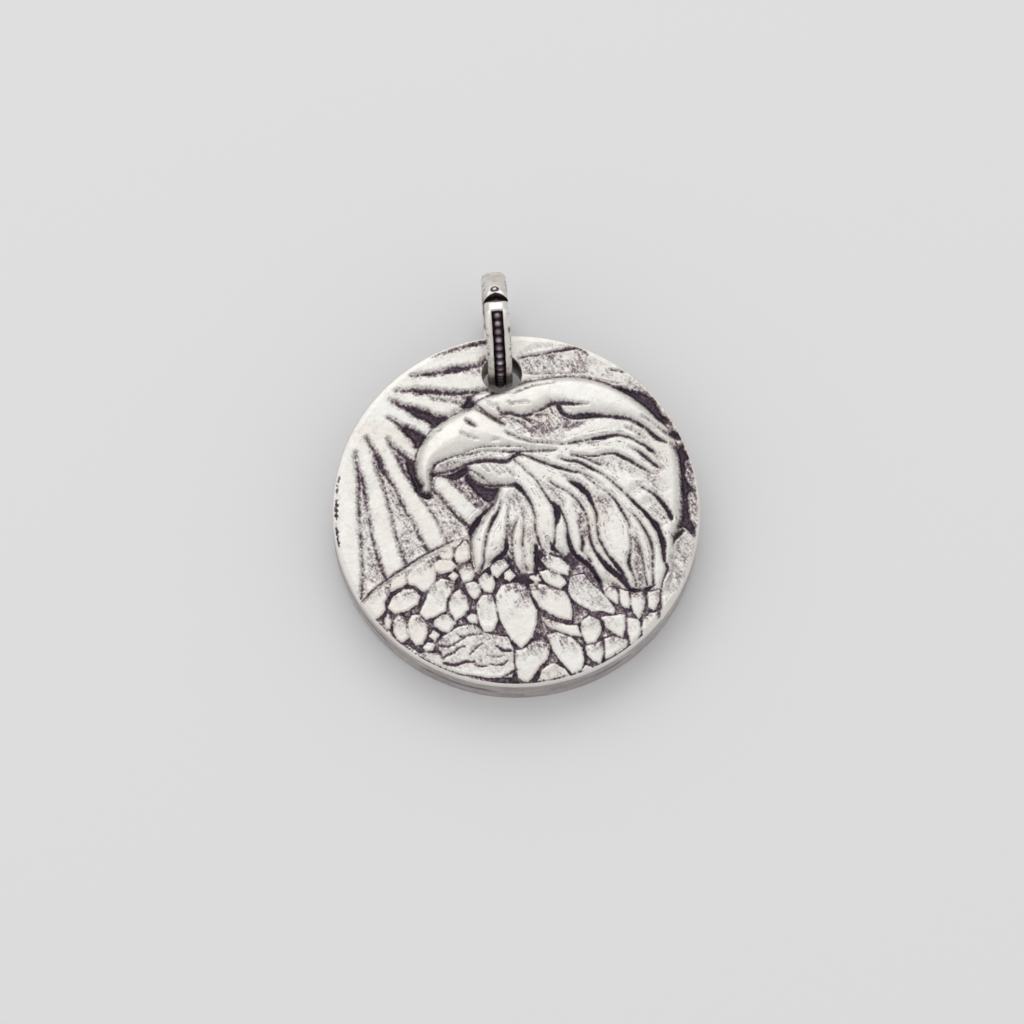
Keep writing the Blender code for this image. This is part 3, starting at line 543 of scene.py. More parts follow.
def carve(
    x, y, state, lines, seed, depth, shoulder, dark, soft=0.15, thin=0.0, halo=0.3, ragged=0.07
):
    """Cuts grooves. A wide groove is deep and fully oxidised, and a narrow one is a scratch."""
    edge = grain(x, y, 0.12, seed) * ragged
    for line in map(spline, lines):
        at = near(x, y, line, shoulder + 0.35)
        gap = to_line(x[at], y[at], line) + edge[at] + thin
        widest = line[:, 2].max()
        deep = depth * min(1, 0.35 + 1.9 * widest)
        cut = deep * smooth((shoulder - gap) / (shoulder + 0.55 * widest))
        tone = dark * min(1, 0.3 + 4 * widest) * smooth((0.45 * soft - gap) / soft)
        around = halo * min(1, 0.3 + 3 * widest) * np.exp(-np.maximum(gap, 0) / 0.11)
        add(state, at, cut, np.maximum(tone, around))
        state["gap"][at] = np.minimum(state["gap"][at], gap)


def darken(x, y, state, outlines, seed, depth):
    """Sinks whole places and fills them with oxide."""
    edge = grain(x, y, 0.16, seed) * 0.1
    for points in outlines:
        outline = spline(points, closed=True)
        at = near(x, y, outline, 0.4)
        deep = inside(x[at], y[at], outline) + edge[at]
        around = 0.36 * np.exp(np.minimum(deep, 0) / 0.12)
        tone = np.maximum(0.94 * smooth((deep + 0.05) / 0.18), around)
        add(state, at, depth * smooth((deep + 0.12) / 0.34), tone)


def stipple(x, y, state, places, seed, depth, scale):
    """Rough ground, darker in drifts, with short strokes in it."""
    drift = lattice(x, y, 0.5, seed)
    strokes = lattice(0.8 * x + 0.6 * y, (0.8 * y - 0.6 * x) * 0.3, 0.08, seed + 3) - 0.5
    for share, *numbers in places:
        outline = spline(points_of(2, numbers)[0], closed=True)
        at = near(x, y, outline, 0.3)
        amount = smooth((inside(x[at], y[at], outline) + 0.2) / 0.5)
        tone = np.maximum(0.35 + 0.7 * drift[at] + 1.1 * strokes[at], 0)
        add(state, at, depth * amount, scale * amount * share * tone)


def feathers(x, y, state, seed):
    """The breast: pillow-shaped feathers packed close, stippled where one slides under another."""
    edge = grain(x, y, 0.13, seed) * 0.06
    body = inside(x, y, np.array(BODY, float)) + edge
    floor = smooth((body + 0.05) / 0.14)
    lift, root = np.zeros(len(x)), np.zeros(len(x))
    # the distances to the nearest feather and to the one after it
    first, second = np.full(len(x), 9.0), np.full(len(x), 9.0)
    for points in LOBES:
        outline = np.array(points, float)
        at = near(x, y, outline, 0.8)
        deep = inside(x[at], y[at], outline) + edge[at] + 0.04
        reach = min(0.5, max(deep.max(), 0.12))
        pillow = 0.3 * reach * (1 - (1 - np.clip(deep / reach, 0, 1)) ** 2)
        lift[at] = np.maximum(lift[at], pillow)
        low, tall = outline[:, 1].min(), np.ptp(outline[:, 1])
        upper = min(1, tall) * smooth(((y[at] - low) / tall - 0.35) / 0.65)
        root[at] = np.maximum(root[at], (deep > 0) * upper)
        away = -deep
        second[at] = np.where(away < first[at], first[at], np.minimum(second[at], away))
        first[at] = np.minimum(first[at], away)
    seam = smooth(1.1 - (second - first) / 0.15) * smooth((0.3 - first) / 0.2)
    slope = smooth(np.maximum(first, 0) / 0.22)
    drift = lattice(x, y, 0.45, seed + 5)
    # short strokes, like the barbs of the feathers beneath
    barbs = lattice(0.94 * x + 0.34 * y, (0.94 * y - 0.34 * x) * 0.2, 0.075, seed + 7)
    tone = 0.28 + 0.42 * slope * smooth((drift - 0.05) / 0.6) + 0.5 * (barbs - 0.5)
    ragged = smooth((lattice(x, y, 0.3, seed + 9) - 0.12) / 0.4)
    tone = np.maximum(tone, (0.6 + 0.38 * ragged) * np.exp(-(((first - 0.05) / 0.055) ** 2)))
    tone = np.maximum(tone, seam * (0.65 + 0.3 * ragged))
    tone *= smooth((first + 0.05) / 0.07)
    # pale along the shoulder, and painted shade under the neck
    shoulder = smooth((0.55 - body) / 0.25) * smooth((-3.2 - x) / 0.6)
    shade = 0.4 * smooth((1.3 - body) / 1.0) * smooth((x + 2.8) / 0.8) * smooth((3.2 - x) / 1.0)
    tone = np.where(first > 0, tone * (1 - 0.75 * shoulder) + shade, tone)
    under = 0.4 * smooth((drift - 0.2) / 0.4) + 0.5 * (barbs - 0.55)
    tone = np.maximum(tone, root * under * (first < 0))
    add(state, slice(None), floor * (0.05 + 0.1 * slope + 0.05 * seam - lift), floor * tone)
    return floor


def dome(t):
    return 1 - (1 - np.clip(t, 0, 1)) ** 2


def relief(x, y):
    """Height above the face, and darkness from oxide and some painted shade, for arrays of points
    in millimetres.
    """
    state = {"cut": np.zeros(len(x)), "tone": np.zeros(len(x)), "gap": np.full(len(x), 9.0)}
    head, brow, beak, chin = (
        inside(x, y, spline(points, closed=True))
        for points in (HEAD_OUTLINE, BROW_OUTLINE, BEAK_OUTLINE, CHIN_OUTLINE)
    )
    carve(x, y, state, RAYS, 11, 0.17, 0.2, 0.95, soft=0.22, thin=0.02, halo=0.36, ragged=0.17)
    carve(x, y, state, RIM_LINES, 15, 0.06, 0.06, 1.3, soft=0.12, halo=0.1, ragged=0.2)
    carve(x, y, state, FACE_LINES, 21, 0.2, 0.15, 0.95, thin=0.02, halo=0.2)
    state["gap"][:] = 9.0
    carve(x, y, state, NECK_LINES, 31, 0.24, 0.16, 1.05, soft=0.14, thin=0.035, halo=0.1)
    # broken hair lines that run along the plumage's grooves
    gap = state["gap"]
    hair = smooth((np.cos(math.tau * gap / 0.17) - 0.35) / 0.65) * smooth((0.6 - gap) / 0.3)
    hair *= smooth((lattice(x, y, 0.28, 35) - 0.48) / 0.16) * (gap > 0.1) * smooth((x + 3.2) / 0.5)
    add(state, slice(None), 0.015 * hair, 0.3 * hair)
    # a dark line along the outlines of the head and of the front of the brow
    rim = 0.62 * np.exp(-(((head + 0.05) / 0.065) ** 2)) * smooth((y - 1.4) / 0.8)
    front = 0.5 * np.exp(-(((brow + 0.04) / 0.06) ** 2)) * smooth((1.8 - x) / 1.5)
    rim = np.maximum(rim, front)
    add(state, slice(None), 0.03 * rim, rim * (0.6 + 0.5 * lattice(x, y, 0.25, 37)))
    darken(x, y, state, DARK, 41, 0.24)
    stipple(x, y, state, STIPPLE, 51, 0.04, 1.0)
    floor = feathers(x, y, state, 61)
    carve(x, y, state, SHOULDER_LINES, 65, 0.1, 0.1, 1.25, soft=0.13, halo=0.25)
    carve(x, y, state, BODY_LINES, 71, 0.12, 0.12, 1.1)
    stipple(x, y, state, BODY_STIPPLE, 81, 0.03, 0.7)

    # faint grey streaks and grains everywhere, and more of them where it is already dark
    fine = lattice(x, y, 0.06, 91) * 0.6 + lattice(x, y, 0.1, 92) * 0.4 - 0.5
    tone = state["tone"] + 0.035 * smooth((lattice(x, y, 0.4, 93) - 0.5) / 0.3)
    oxide_and_shade = tone + fine * 3.6 * tone * (1.15 - tone)

    rise = 0.2 * dome(head / 0.55 + 0.15) + 0.1 * dome(head / 2.6)
    rise += 0.16 * dome(brow / 0.75 + 0.12) + 0.18 * dome(beak / 1.3 + 0.06)
    rise += 0.07 * dome(chin / 0.4)
    rise = rise * (1 - floor) + 0.22 * floor
    from_centre = np.hypot(x, y)
    rise -= 0.05 * smooth((from_centre - 9.6) / 0.3) ** 2
    # the grooves run out before the rim
    height = rise - state["cut"] * smooth((9.88 - from_centre) / 0.12)
    height += grain(x, y, 0.9, 95) * 0.016 + grain(x, y, 0.25, 97) * 0.008
    height -= 0.012 * fine * (tone > 0.1)
    return height, np.clip(oxide_and_shade, 0, 1)


# ---- where the CAD is


def coin_frame():
    """From the medallion's own frame, centred in the disc with its face up, to the row frame."""
    panel = next(m for m in frame["record"]["mounts"] if m["name"] == "reverse_panel")
    tilt = Matrix.Rotation(math.atan2(panel["axis"][1], -panel["axis"][2]), 4, "X")
    place = Matrix.Translation(Vector(panel["pos_m"]))
    return place @ tilt @ Matrix.Translation(-Vector(PANEL_POINT) * MM)


def ring_frame():
    """From the ring's own frame, centred on it with its axis along X, to the row frame."""
    low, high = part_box("bail_ring")
    middle = (low + high) / 2
    turn = COIN.to_3x3().to_4x4() @ Matrix.Rotation(RING_TWIST, 4, "Z")
    return Matrix.Translation((0, middle.y, middle.z)) @ turn


# ---- meshes


def new_piece(name, points, faces, oxide_and_shade, matrix, body, node, slot, material):
    """A smooth mesh from points in millimetres, with a value for each of how dark it is from oxide
    and painted shade.
    """
    a, b, c = (points[faces[:, i]] for i in range(3))
    if (a * np.cross(b, c)).sum() < 0:
        faces = faces[:, ::-1]  # the closed mesh faced in
    mesh = bpy.data.meshes.new(name)
    mesh.from_pydata((points * MM).tolist(), [], faces.tolist())
    mesh.transform(matrix)
    layer = mesh.attributes.new("oxide_and_shade", "FLOAT", "POINT")
    layer.data.foreach_set("value", oxide_and_shade.astype(np.float32))
    mesh.shade_smooth()
    mesh.materials.append(material)
    obj = bpy.data.objects.new(name, mesh)
    bpy.context.scene.collection.objects.link(obj)
    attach(obj, body)
    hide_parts(node)


def circle(radius, count):
    turn = np.arange(count) * math.tau / count
    return np.column_stack([radius * np.cos(turn), radius * np.sin(turn)])


def ring_grid(radius, count):
    """Points of a disc in rings of 6, 12, 18 and so on, and the triangles between them."""
    rings, faces = [np.zeros((1, 2))], []
    first = 1
    for k in range(1, count + 1):
        rings.append(circle(radius * k / count, 6 * k))
        before = first - 6 * (k - 1) if k > 1 else 0
        for side in range(6):
            for i in range(k):
                a = first + side * k + i
                b = first + (side * k + i + 1) % (6 * k)
                if k == 1:
                    faces.append((0, a, b))
                    continue
                c = before + (side * (k - 1) + i) % (6 * (k - 1))
                faces.append((c, a, b))
                if i < k - 1:
                    faces.append((c, b, before + (side * (k - 1) + i + 1) % (6 * (k - 1))))
        first += 6 * k
    return np.vstack(rings), np.array(faces)


def open_edges(faces):
    """From each point on an open edge of a sheet of triangles to the next point along it."""
    ends = np.vstack([faces[:, [0, 1]], faces[:, [1, 2]], faces[:, [2, 0]]])
    both = {tuple(e) for e in ends.tolist()}
    return {a: b for a, b in both if (b, a) not in both}


def follow(after, start):
    """The points of one open edge in order, from the start right round to it."""
    loop, at = [start], after[start]
    while at != start:
        loop.append(at)
        at = after[at]
    return loop


def strip(upper, lower):
    """Triangles between two closed rows of points that run the same way."""
    faces = []
    for i in range(len(upper)):
        j = (i + 1) % len(upper)
        faces.append((upper[i], lower[i], lower[j]))
        faces.append((upper[i], lower[j], upper[j]))
    return faces


def tube(rows, n):
    """Triangles between rows of n points, one row after another."""
    faces = []
    for i in range(rows - 1):
        for j in range(n):
            a, b = i * n + j, i * n + (j + 1) % n
            faces += [(a, b, b + n), (a, b + n, a + n)]
    return faces


def face_sheet():
    """The flat net of the struck face, with its hole, as points and triangles."""
    radius = DISC_RADIUS - EDGE_ROUND
    flat, faces = ring_grid(radius, FACE_RINGS)
    cell = radius / FACE_RINGS
    mouth = HOLE_RADIUS + HOLE_SOFT
    away = flat - (0, HOLE_Y)
    far = np.hypot(away[:, 0], away[:, 1])
    snap = abs(far - mouth) <= cell / 2
    flat[snap] = (0, HOLE_Y) + away[snap] / far[snap, None] * mouth
    gone = far < mouth - cell / 2
    faces = faces[~gone[faces].any(1) & ~snap[faces].all(1)]
    used = np.unique(faces)
    number = np.full(len(flat), -1)
    number[used] = np.arange(len(used))
    return flat[used], number[faces]


def back_sheet(rim, bore):
    """The net of the back between these two rows of points.

    It gives the points, the triangles, the new number of each rim and bore point, and which
    points are in the sunk panel."""
    mouth = HOLE_RADIUS + HOLE_SOFT
    panel = PANEL_RADIUS + PANEL_DEPTH, PANEL_RADIUS
    rows = [rim, bore, *(circle(radius, PANEL_STEPS) for radius in panel)]
    edges, start = [], 0
    for n in map(len, rows):
        edges.extend((start + i, start + (i + 1) % n) for i in range(n))
        start += n
    inner, _ = ring_grid(DISC_RADIUS - 0.6, BACK_RINGS)
    clear = np.hypot(inner[:, 0], inner[:, 1] - HOLE_Y) > mouth + 0.15
    clear &= abs(np.hypot(inner[:, 0], inner[:, 1]) - PANEL_RADIUS - 0.06) > 0.15
    spots = np.vstack([*rows, inner[clear]])
    out = delaunay_2d_cdt([Vector(p) for p in spots], edges, [], 0, 1e-7)
    spots, cells = np.array([tuple(p) for p in out[0]]), np.array([list(f) for f in out[2]])
    centre = spots[cells].mean(1)
    cells = cells[np.hypot(centre[:, 0], centre[:, 1] - HOLE_Y) > mouth * 0.999]
    source = {k: i for i, ks in enumerate(out[3]) for k in ks}
    sunk = np.hypot(spots[:, 0], spots[:, 1]) <= PANEL_RADIUS + PANEL_DEPTH / 2
    return spots, cells, [source[k] for k in range(len(rim) + len(bore))], sunk


def medallion_mesh():
    """The struck face as one fine sheet, the rim and the bore as rows below it, and the back."""
    flat, sheet = face_sheet()
    height, oxide_and_shade = relief(flat[:, 0], flat[:, 1])
    points, masks, faces = [np.column_stack([flat, HALF + height])], [oxide_and_shade], [sheet]

    def row(x, y, z, dark, above=None):
        """Adds a row of points, and the wall to it from the row above."""
        first = sum(map(len, points))
        points.append(np.column_stack([x, y, np.broadcast_to(z, len(x))]))
        masks.append(np.broadcast_to(dark, len(x)))
        made = list(range(first, first + len(x)))
        if above is not None:
            faces.append(strip(above, made))
        return made

    after = open_edges(sheet)
    mouth = HOLE_RADIUS + HOLE_SOFT
    rim = follow(after, int(np.argmax(np.hypot(flat[:, 0], flat[:, 1]))))
    bore = follow(
        after, next(i for i in after if math.hypot(flat[i, 0], flat[i, 1] - HOLE_Y) < mouth * 1.01)
    )

    # the rim, rounded over above and below, and not quite true
    turn = np.arctan2(flat[rim, 1], flat[rim, 0])
    x, y, base = np.cos(turn), np.sin(turn), points[0][rim, 2]
    inset = DISC_RADIUS - EDGE_ROUND
    rounding = (0.04, 0.008), (0.085, 0.03), (0.12, 0.065), (0.145, 0.115), (EDGE_ROUND, 0.2)
    for out, down in rounding:
        rim = row(x * (inset + out), y * (inset + out), base - down, 0, rim)
    top = base - 0.2
    for share in np.linspace(0, 1, 13)[1:]:
        z = top + (-HALF + 0.16 - top) * share
        wave = 0.012 * (lattice(turn * 9, z, 0.5, 201) - 0.5)
        stain = 0.12 + 0.16 * lattice(turn * 10, z * 7, 1.3, 202)
        stain += 0.12 * lattice(turn * 10, z * 3, 0.35, 204)
        band = 1 - abs(share - 0.42 - 0.1 * lattice(turn * 10, z * 0, 2.5, 205)) / 0.12
        stain += 0.3 * smooth(band) * smooth((lattice(turn * 10, z, 1.6, 206) - 0.5) / 0.3)
        r = DISC_RADIUS + wave - 0.006
        rim = row(x * r, y * r, z, stain, rim)
    for out, up in ((0.12, 0.1), (0.07, 0.04), (0, 0)):
        rim = row(x * (inset + out), y * (inset + out), -HALF + up, 0, rim)

    # the bore
    turn = np.arctan2(flat[bore, 1] - HOLE_Y, flat[bore, 0])
    x, y, base = np.cos(turn), np.sin(turn), points[0][bore, 2]
    for inward, down in ((0.03, 0.015), (HOLE_SOFT, 0.06)):
        r = mouth - inward
        bore = row(x * r, HOLE_Y + y * r, base - down, 0.05, bore)
    top = base - 0.06
    for share in np.linspace(0, 1, 9)[1:]:
        z = top + (-HALF + 0.06 - top) * share
        shade = 0.85 * smooth((np.cos(turn - 0.3) - 0.72) / 0.1) * (1 - share)
        bore = row(x * HOLE_RADIUS, HOLE_Y + y * HOLE_RADIUS, z, shade, bore)
    bore = row(x * mouth, HOLE_Y + y * mouth, -HALF, 0.2, bore)

    # the back: flat, with a shallow sunk panel
    so_far = np.vstack(points)
    spots, cells, known, sunk = back_sheet(so_far[rim, :2], so_far[bore, :2])
    number = np.full(len(spots), -1)
    number[known] = rim + bore
    fresh = np.nonzero(number < 0)[0]
    number[fresh] = row(*spots[fresh].T, -HALF + PANEL_DEPTH * sunk[fresh], 0)
    cells = number[cells]
    points = np.vstack(points)
    # turn every cell to face down
    a, b, c = (points[cells[:, i]] for i in range(3))
    up = np.cross(b - a, c - a)[:, 2] > 0
    cells[up] = cells[up][:, ::-1]
    return points, np.vstack([*faces, cells]), np.concatenate(masks)


def ring_mesh():
    """The ring as one sweep from the seam right round to the seam, with its caps."""
    # the section, as (x, radius) pairs, from one side of the outer face and round
    half = BAND_WIDTH / 2
    across = np.linspace(-1, 1, 53)
    flank = np.linspace(RING_OUTER - 0.16, RING_INNER + 0.16, 6)
    section = [
        *((x, RING_OUTER) for x in across * (half - 0.03)),
        (half - 0.008, RING_OUTER - 0.03),
        (half, RING_OUTER - 0.08),
        *((half, r) for r in flank),
        (half - 0.015, RING_INNER + 0.06),
        (half - 0.06, RING_INNER + 0.015),
        *((x, RING_INNER) for x in np.linspace(half - 0.12, 0.12 - half, 11)),
        (0.06 - half, RING_INNER + 0.015),
        (0.015 - half, RING_INNER + 0.06),
        *((-half, r) for r in np.linspace(RING_INNER + 0.16, RING_OUTER - 0.16, 6)),
        (-half, RING_OUTER - 0.08),
        (0.008 - half, RING_OUTER - 0.03),
    ]
    section = np.array(section)
    n = len(section)
    first = SEAM + SEAM_WIDTH / 2 / RING_OUTER
    last = SEAM + math.tau - SEAM_WIDTH / 2 / RING_OUTER
    alpha, x = np.meshgrid(np.linspace(first, last, RING_STEPS), section[:, 0], indexing="ij")
    r = np.broadcast_to(section[:, 1], alpha.shape)
    top = np.broadcast_to(np.arange(n) < len(across), alpha.shape)
    arc_at = alpha * RING_OUTER

    # the channel, with ends that are not quite square
    ragged = 0.02 * (lattice(arc_at, x * 0, 0.3, 301) - 0.5)
    width = smooth((CHANNEL_WIDTH / 2 + ragged - abs(x)) / 0.05 + 0.5)
    start, end = CHANNEL[0] * RING_OUTER, CHANNEL[1] * RING_OUTER
    length = smooth((arc_at - start) / 0.06 + 0.5) * smooth((end - arc_at) / 0.06 + 0.5)
    channel = width * length * top
    # a row of worn tool marks along each edge
    marks = smooth((lattice(arc_at, x * 2 + r, 0.09, 303) - 0.5) / 0.2)
    marks *= smooth((lattice(arc_at, x * 0, 0.7, 304) - 0.4) / 0.2)
    side = smooth((abs(x) - 0.5) / 0.06) * smooth((r - 2.9) / 0.08)
    marks *= side * smooth((arc_at - start) / 0.3)
    # edges by the channel are a little rounded
    lip = smooth(1 - abs(abs(x) - CHANNEL_WIDTH / 2 - 0.03) / 0.06) * length * top * (1 - width)
    # a small ring-shaped pit above the seam
    pit = np.hypot((alpha - last) * RING_OUTER + 0.3, x + 0.03)
    pit = smooth(1.2 - abs(pit - 0.17) / 0.075) * top
    # the outer face is domed across, most of all where it is plain
    crown = (0.27 - 0.15 * length) * (abs(x) / half) ** 4
    r = r - channel * CHANNEL_DEPTH - crown * smooth((r - RING_INNER) / (RING_OUTER - RING_INNER))
    r += top * 0.01 * (lattice(arc_at, x, 0.45, 305) - 0.5) - 0.02 * marks - 0.02 * lip - 0.06 * pit
    # the end above the seam rises to a point in the middle, and the end below is a little hollow
    peak = (SEAM_PEAK * 1.25 * (1 - abs(x) / half) - 0.1 * (abs(x) / half) ** 2) / RING_OUTER
    hollow = 0.09 * (1 - abs(x) / half) / RING_OUTER
    tail = smooth((alpha - last + 0.5) / 0.5)
    alpha = alpha - peak * tail + hollow * smooth((first + 0.2 - alpha) / 0.2)
    close = smooth((first + 0.07 - alpha) / 0.07) + smooth((alpha - last + 0.05 + peak) / 0.05)
    r = np.where(r > 2.85, r - 0.05 * smooth(close), r)

    wall = smooth((abs(x) - CHANNEL_WIDTH / 2 + 0.09) / 0.06)
    oxide_and_shade = channel * (0.95 - 0.4 * wall) + 0.45 * marks + 0.9 * pit + 0.2 * lip
    oxide_and_shade += (section[:, 1] < RING_INNER + 0.05) * 0.35 * lattice(arc_at, x, 0.5, 307)
    worn = smooth((lattice(arc_at, x, 0.35, 308) - 0.45) / 0.4)
    oxide_and_shade += 0.16 * worn * (1 - channel) * smooth((arc_at - start) / 2)
    # darker where the ring goes through the hole
    hidden = smooth((math.radians(185) - alpha) / 0.2)
    oxide_and_shade += 0.3 * hidden * smooth((alpha - math.radians(155)) / 0.3)
    points = np.stack([x, r * np.cos(alpha), r * np.sin(alpha)], axis=-1).reshape(-1, 3)
    faces = tube(RING_STEPS, n)
    # both end caps, from the middle of the section
    for i in (0, RING_STEPS - 1):
        loop = points[i * n : (i + 1) * n]
        middle = loop.mean(0)
        centre = len(points) + n
        points = np.vstack([points, middle + (loop - middle) * 0.96, middle])
        for j in range(n):
            k = (j + 1) % n
            a, b, c, d = i * n + j, i * n + k, centre - n + j, centre - n + k
            cap = [(b, a, c), (b, c, d), (d, c, centre)]
            faces.extend(cap if i == 0 else [f[::-1] for f in cap])
    caps = np.ones(len(points) - oxide_and_shade.size)
    return points, np.array(faces), np.append(np.clip(oxide_and_shade, 0, 1), caps)


def bead_mesh():
    """The row of beads as one wire that swells and narrows, lying in the channel."""
    radius = RING_OUTER - CHANNEL_DEPTH + 0.03 + BEAD / 2
    start, end = CHANNEL[0] + 0.02, CHANNEL[1] - 0.02
    rows = BEADS * BEAD_STEPS
    s = np.arange(rows + 1) / rows * BEADS
    number = np.minimum(np.floor(s).astype(int), BEADS - 1)
    u = (s - number - 0.5) * (end - start) * radius / BEADS
    vary = np.random.default_rng(311).normal(0, 0.012, (BEADS, 3))
    size = BEAD / 2 * (1 + np.clip(vary[number, 0], -0.03, 0.0))
    swell = np.sqrt(np.clip(1 - (u / 0.235) ** 2, 0, 1)) ** 0.9
    thick = np.maximum(size * swell, 0.1)
    worn = np.random.default_rng(313).uniform(0.08, 0.55, BEADS)
    around = np.arange(BEAD_SIDES) * math.tau / BEAD_SIDES
    alpha = start + (end - start) * s / BEADS
    points, oxide_and_shade = [], []
    for a, t, sw, k in zip(alpha, thick, swell, number):
        x = np.cos(around) * (t + 0.055) + vary[k, 1] * 0.4
        r = radius + np.sin(around) * t
        points.extend(zip(x, r * math.cos(a), r * math.sin(a)))
        high = np.sin(around) * t / (BEAD / 2)
        oxide_and_shade.extend(np.clip((0.98 - high) / 0.36, 0, 1) + 0.35 * (1 - sw) + worn[k])
    faces = tube(rows + 1, BEAD_SIDES)
    for a, row, shift in ((alpha[0], 0, -0.012), (alpha[-1], rows, 0.012)):
        tip = len(points)
        points.append((0, radius * math.cos(a + shift), radius * math.sin(a + shift)))
        oxide_and_shade.append(0.9)
        for j in range(BEAD_SIDES):
            pair = (row * BEAD_SIDES + (j + 1) % BEAD_SIDES, row * BEAD_SIDES + j)
            faces.append((tip, *pair) if row == 0 else (tip, *pair[::-1]))
    return np.array(points), np.array(faces), np.clip(oxide_and_shade, 0, 1)


# ---- materials


def silver(name, roughness, patches):
    """Antique silver: polished where it is worn, and dark where the attribute layer says: oxidised
    in most places, and painted shade in a few.
    """
    material = bpy.data.materials.new(name)
    material.use_nodes = True
    nodes, links = material.node_tree.nodes, material.node_tree.links
    nodes.clear()

    def node(kind, **values):
        made = nodes.new(kind)
        for key, value in values.items():
            if key.startswith("in_"):
                made.inputs[key[3:].replace("_", " ")].default_value = value
            else:
                setattr(made, key, value)
        return made

    output = node("ShaderNodeOutputMaterial")
    shader = node("ShaderNodeBsdfPrincipled", in_Metallic=1.0)
    links.new(shader.outputs[0], output.inputs[0])
    place = node("ShaderNodeTexCoord").outputs["Object"]
    layer = node("ShaderNodeAttribute", attribute_name="oxide_and_shade")

    def noise(scale, detail, rough=0.55):
        made = node("ShaderNodeTexNoise", in_Scale=scale, in_Detail=detail, in_Roughness=rough)
        links.new(place, made.inputs["Vector"])
        return made.outputs["Fac"]

    def math_of(kind, a, b, clamp=False):
        made = node("ShaderNodeMath", operation=kind, use_clamp=clamp)
        for socket, value in zip(made.inputs, (a, b)):
            if isinstance(value, (int, float)):
                socket.default_value = value
            else:
                links.new(value, socket)
        return made.outputs[0]

    # a fine breakup at the edge of the oxide and the painted shade
    speck = math_of("MULTIPLY", math_of("SUBTRACT", noise(9000, 3), 0.5), 0.25)
    dark = math_of("ADD", layer.outputs["Fac"], speck, True)
    ramp = node("ShaderNodeValToRGB")
    stops = (
        (0.0, SILVER),
        (0.12, tuple(0.84 * c for c in SILVER)),
        (0.45, (0.29, 0.236, 0.256)),
        (0.75, (0.135, 0.1, 0.124)),
        (1.0, (0.062, 0.047, 0.066)),
    )
    while len(ramp.color_ramp.elements) < len(stops):
        ramp.color_ramp.elements.new(0.5)
    for stop, (at, colour) in zip(ramp.color_ramp.elements, stops):
        stop.position, stop.color = at, (*colour, 1)
    links.new(dark, ramp.inputs[0])

    # thin tarnish, warm in patches
    patch = node("ShaderNodeMapRange", in_From_Min=0.42, in_From_Max=0.66)
    links.new(noise(420, 4, 0.6), patch.inputs["Value"])
    warm = node("ShaderNodeMix", data_type="RGBA", blend_type="MULTIPLY")
    links.new(math_of("MULTIPLY", patch.outputs[0], patches), warm.inputs["Factor"])
    links.new(ramp.outputs[0], warm.inputs[6])
    warm.inputs[7].default_value = (0.86, 0.74, 0.66, 1)
    links.new(warm.outputs[2], shader.inputs["Base Color"])

    rough = math_of("ADD", math_of("MULTIPLY", noise(2600, 5, 0.6), 0.22), roughness - 0.11)
    rough = math_of("ADD", rough, math_of("MULTIPLY", dark, 0.12), True)
    links.new(rough, shader.inputs["Roughness"])

    # cast grain, and short fine scratches laid in two directions
    height = math_of("MULTIPLY", noise(5200, 5, 0.62), 0.8)
    for turn, amount in ((0.5, 0.16), (-0.9, 0.12)):
        stretch = node("ShaderNodeMapping", in_Rotation=(0, 0, turn), in_Scale=(1500, 9000, 1500))
        links.new(place, stretch.inputs["Vector"])
        fine = node("ShaderNodeTexNoise", in_Scale=1.0, in_Detail=2.0)
        links.new(stretch.outputs[0], fine.inputs["Vector"])
        height = math_of("ADD", height, math_of("MULTIPLY", fine.outputs["Fac"], amount))
    bump = node("ShaderNodeBump", in_Strength=0.35, in_Distance=0.00004)
    links.new(height, bump.inputs["Height"])
    links.new(bump.outputs[0], shader.inputs["Normal"])
    return material


def paper():
    material = bpy.data.materials.new("pale_floor")
    material.use_nodes = True
    shader = material.node_tree.nodes["Principled BSDF"]
    shader.inputs["Base Color"].default_value = FLOOR
    shader.inputs["Roughness"].default_value = 0.85
    shader.inputs["Specular IOR Level"].default_value = 0.1
    return material


# ---- the pieces

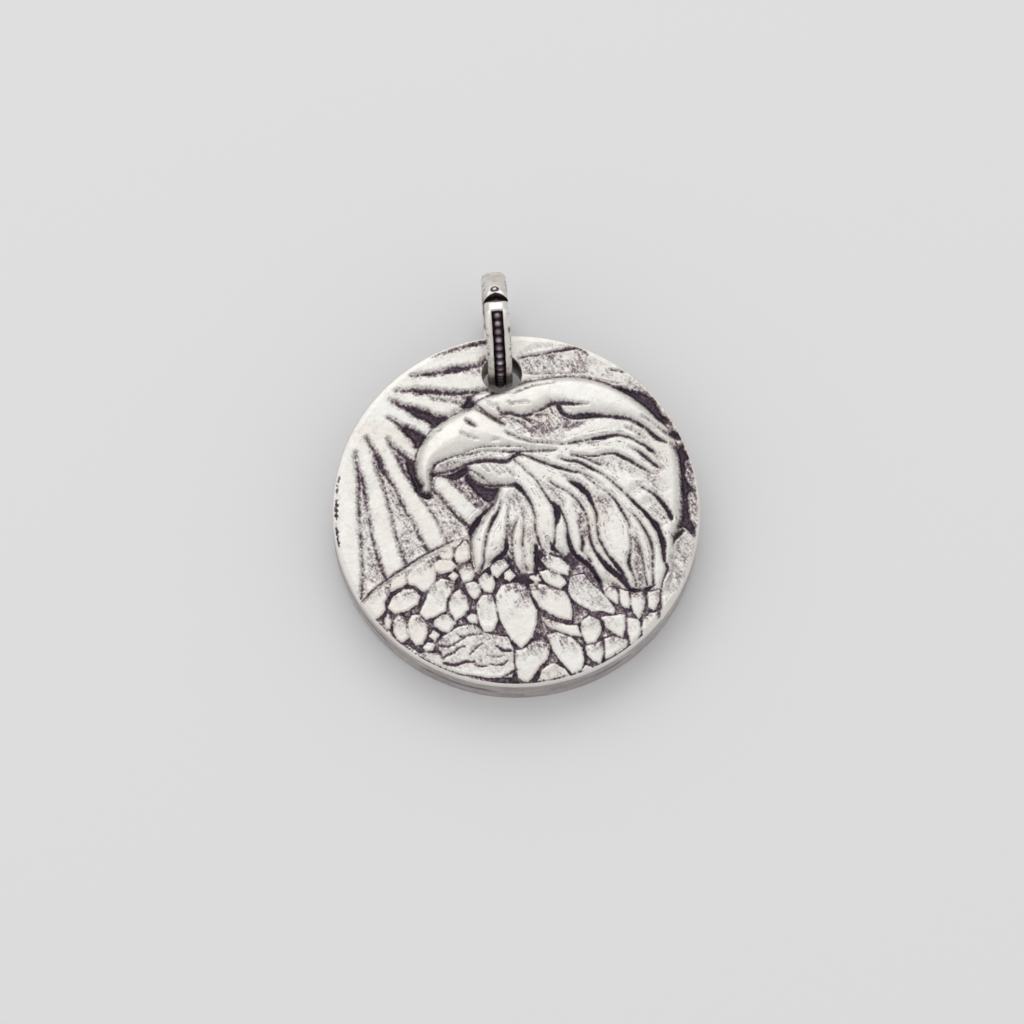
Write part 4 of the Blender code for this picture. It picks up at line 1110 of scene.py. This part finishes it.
COIN = coin_frame()
RING = ring_frame()

new_piece(
    "eagle_medallion", *medallion_mesh(), COIN, "disc", "medallion", "medallion_silver",
    silver("medallion_antique_silver", roughness=0.46, patches=0.3),
)
new_piece(
    "bail_ring_band", *ring_mesh(), RING, "bail", "bail_ring", "bail_silver",
    silver("bail_antique_silver", roughness=0.36, patches=0.5),
)
new_piece(
    "bail_bead_row", *bead_mesh(), RING, "bail", "bead_wire", "bead_silver",
    silver("bead_antique_silver", roughness=0.3, patches=0.4),
)

# ---- floor, light and camera

scene = bpy.context.scene
scene.view_settings.view_transform = "Standard"

floor_mesh = bpy.data.meshes.new("floor")
floor_mesh.from_pydata([(-2, -2, 0), (2, -2, 0), (2, 2, 0), (-2, 2, 0)], [], [(0, 1, 2, 3)])
floor_mesh.materials.append(paper())
floor = bpy.data.objects.new("floor", floor_mesh)
scene.collection.objects.link(floor)

world = bpy.data.worlds.new("studio")
world.use_nodes = True
world.node_tree.nodes["Background"].inputs["Color"].default_value = WORLD
world.node_tree.nodes["Background"].inputs["Strength"].default_value = WORLD_STRENGTH
scene.world = world

for name, place, size, power in LIGHTS:
    softbox = bpy.data.lights.new(name, "AREA")
    softbox.shape = "DISK"
    softbox.size, softbox.energy = size, power
    light = bpy.data.objects.new(name, softbox)
    light.location = place
    light.rotation_euler = (-Vector(place)).to_track_quat("-Z", "Y").to_euler()
    scene.collection.objects.link(light)

lens = bpy.data.cameras.new("camera")
lens.lens, lens.sensor_width = LENS, SENSOR
lens.clip_start, lens.clip_end = 0.005, 20
camera = bpy.data.objects.new("camera", lens)
level = math.cos(ELEVATION)
back = Vector((math.sin(AZIMUTH) * level, -math.cos(AZIMUTH) * level, math.sin(ELEVATION)))
turn = back.to_track_quat("Z", "Y")
aim = COIN @ Vector((0, 0, HALF * MM)) - turn @ Vector((ASIDE, ABOVE, 0)) * FIELD
camera.location = aim + back * (LENS / SENSOR * FIELD)
camera.rotation_euler = turn.to_euler()
scene.collection.objects.link(camera)
scene.camera = camera
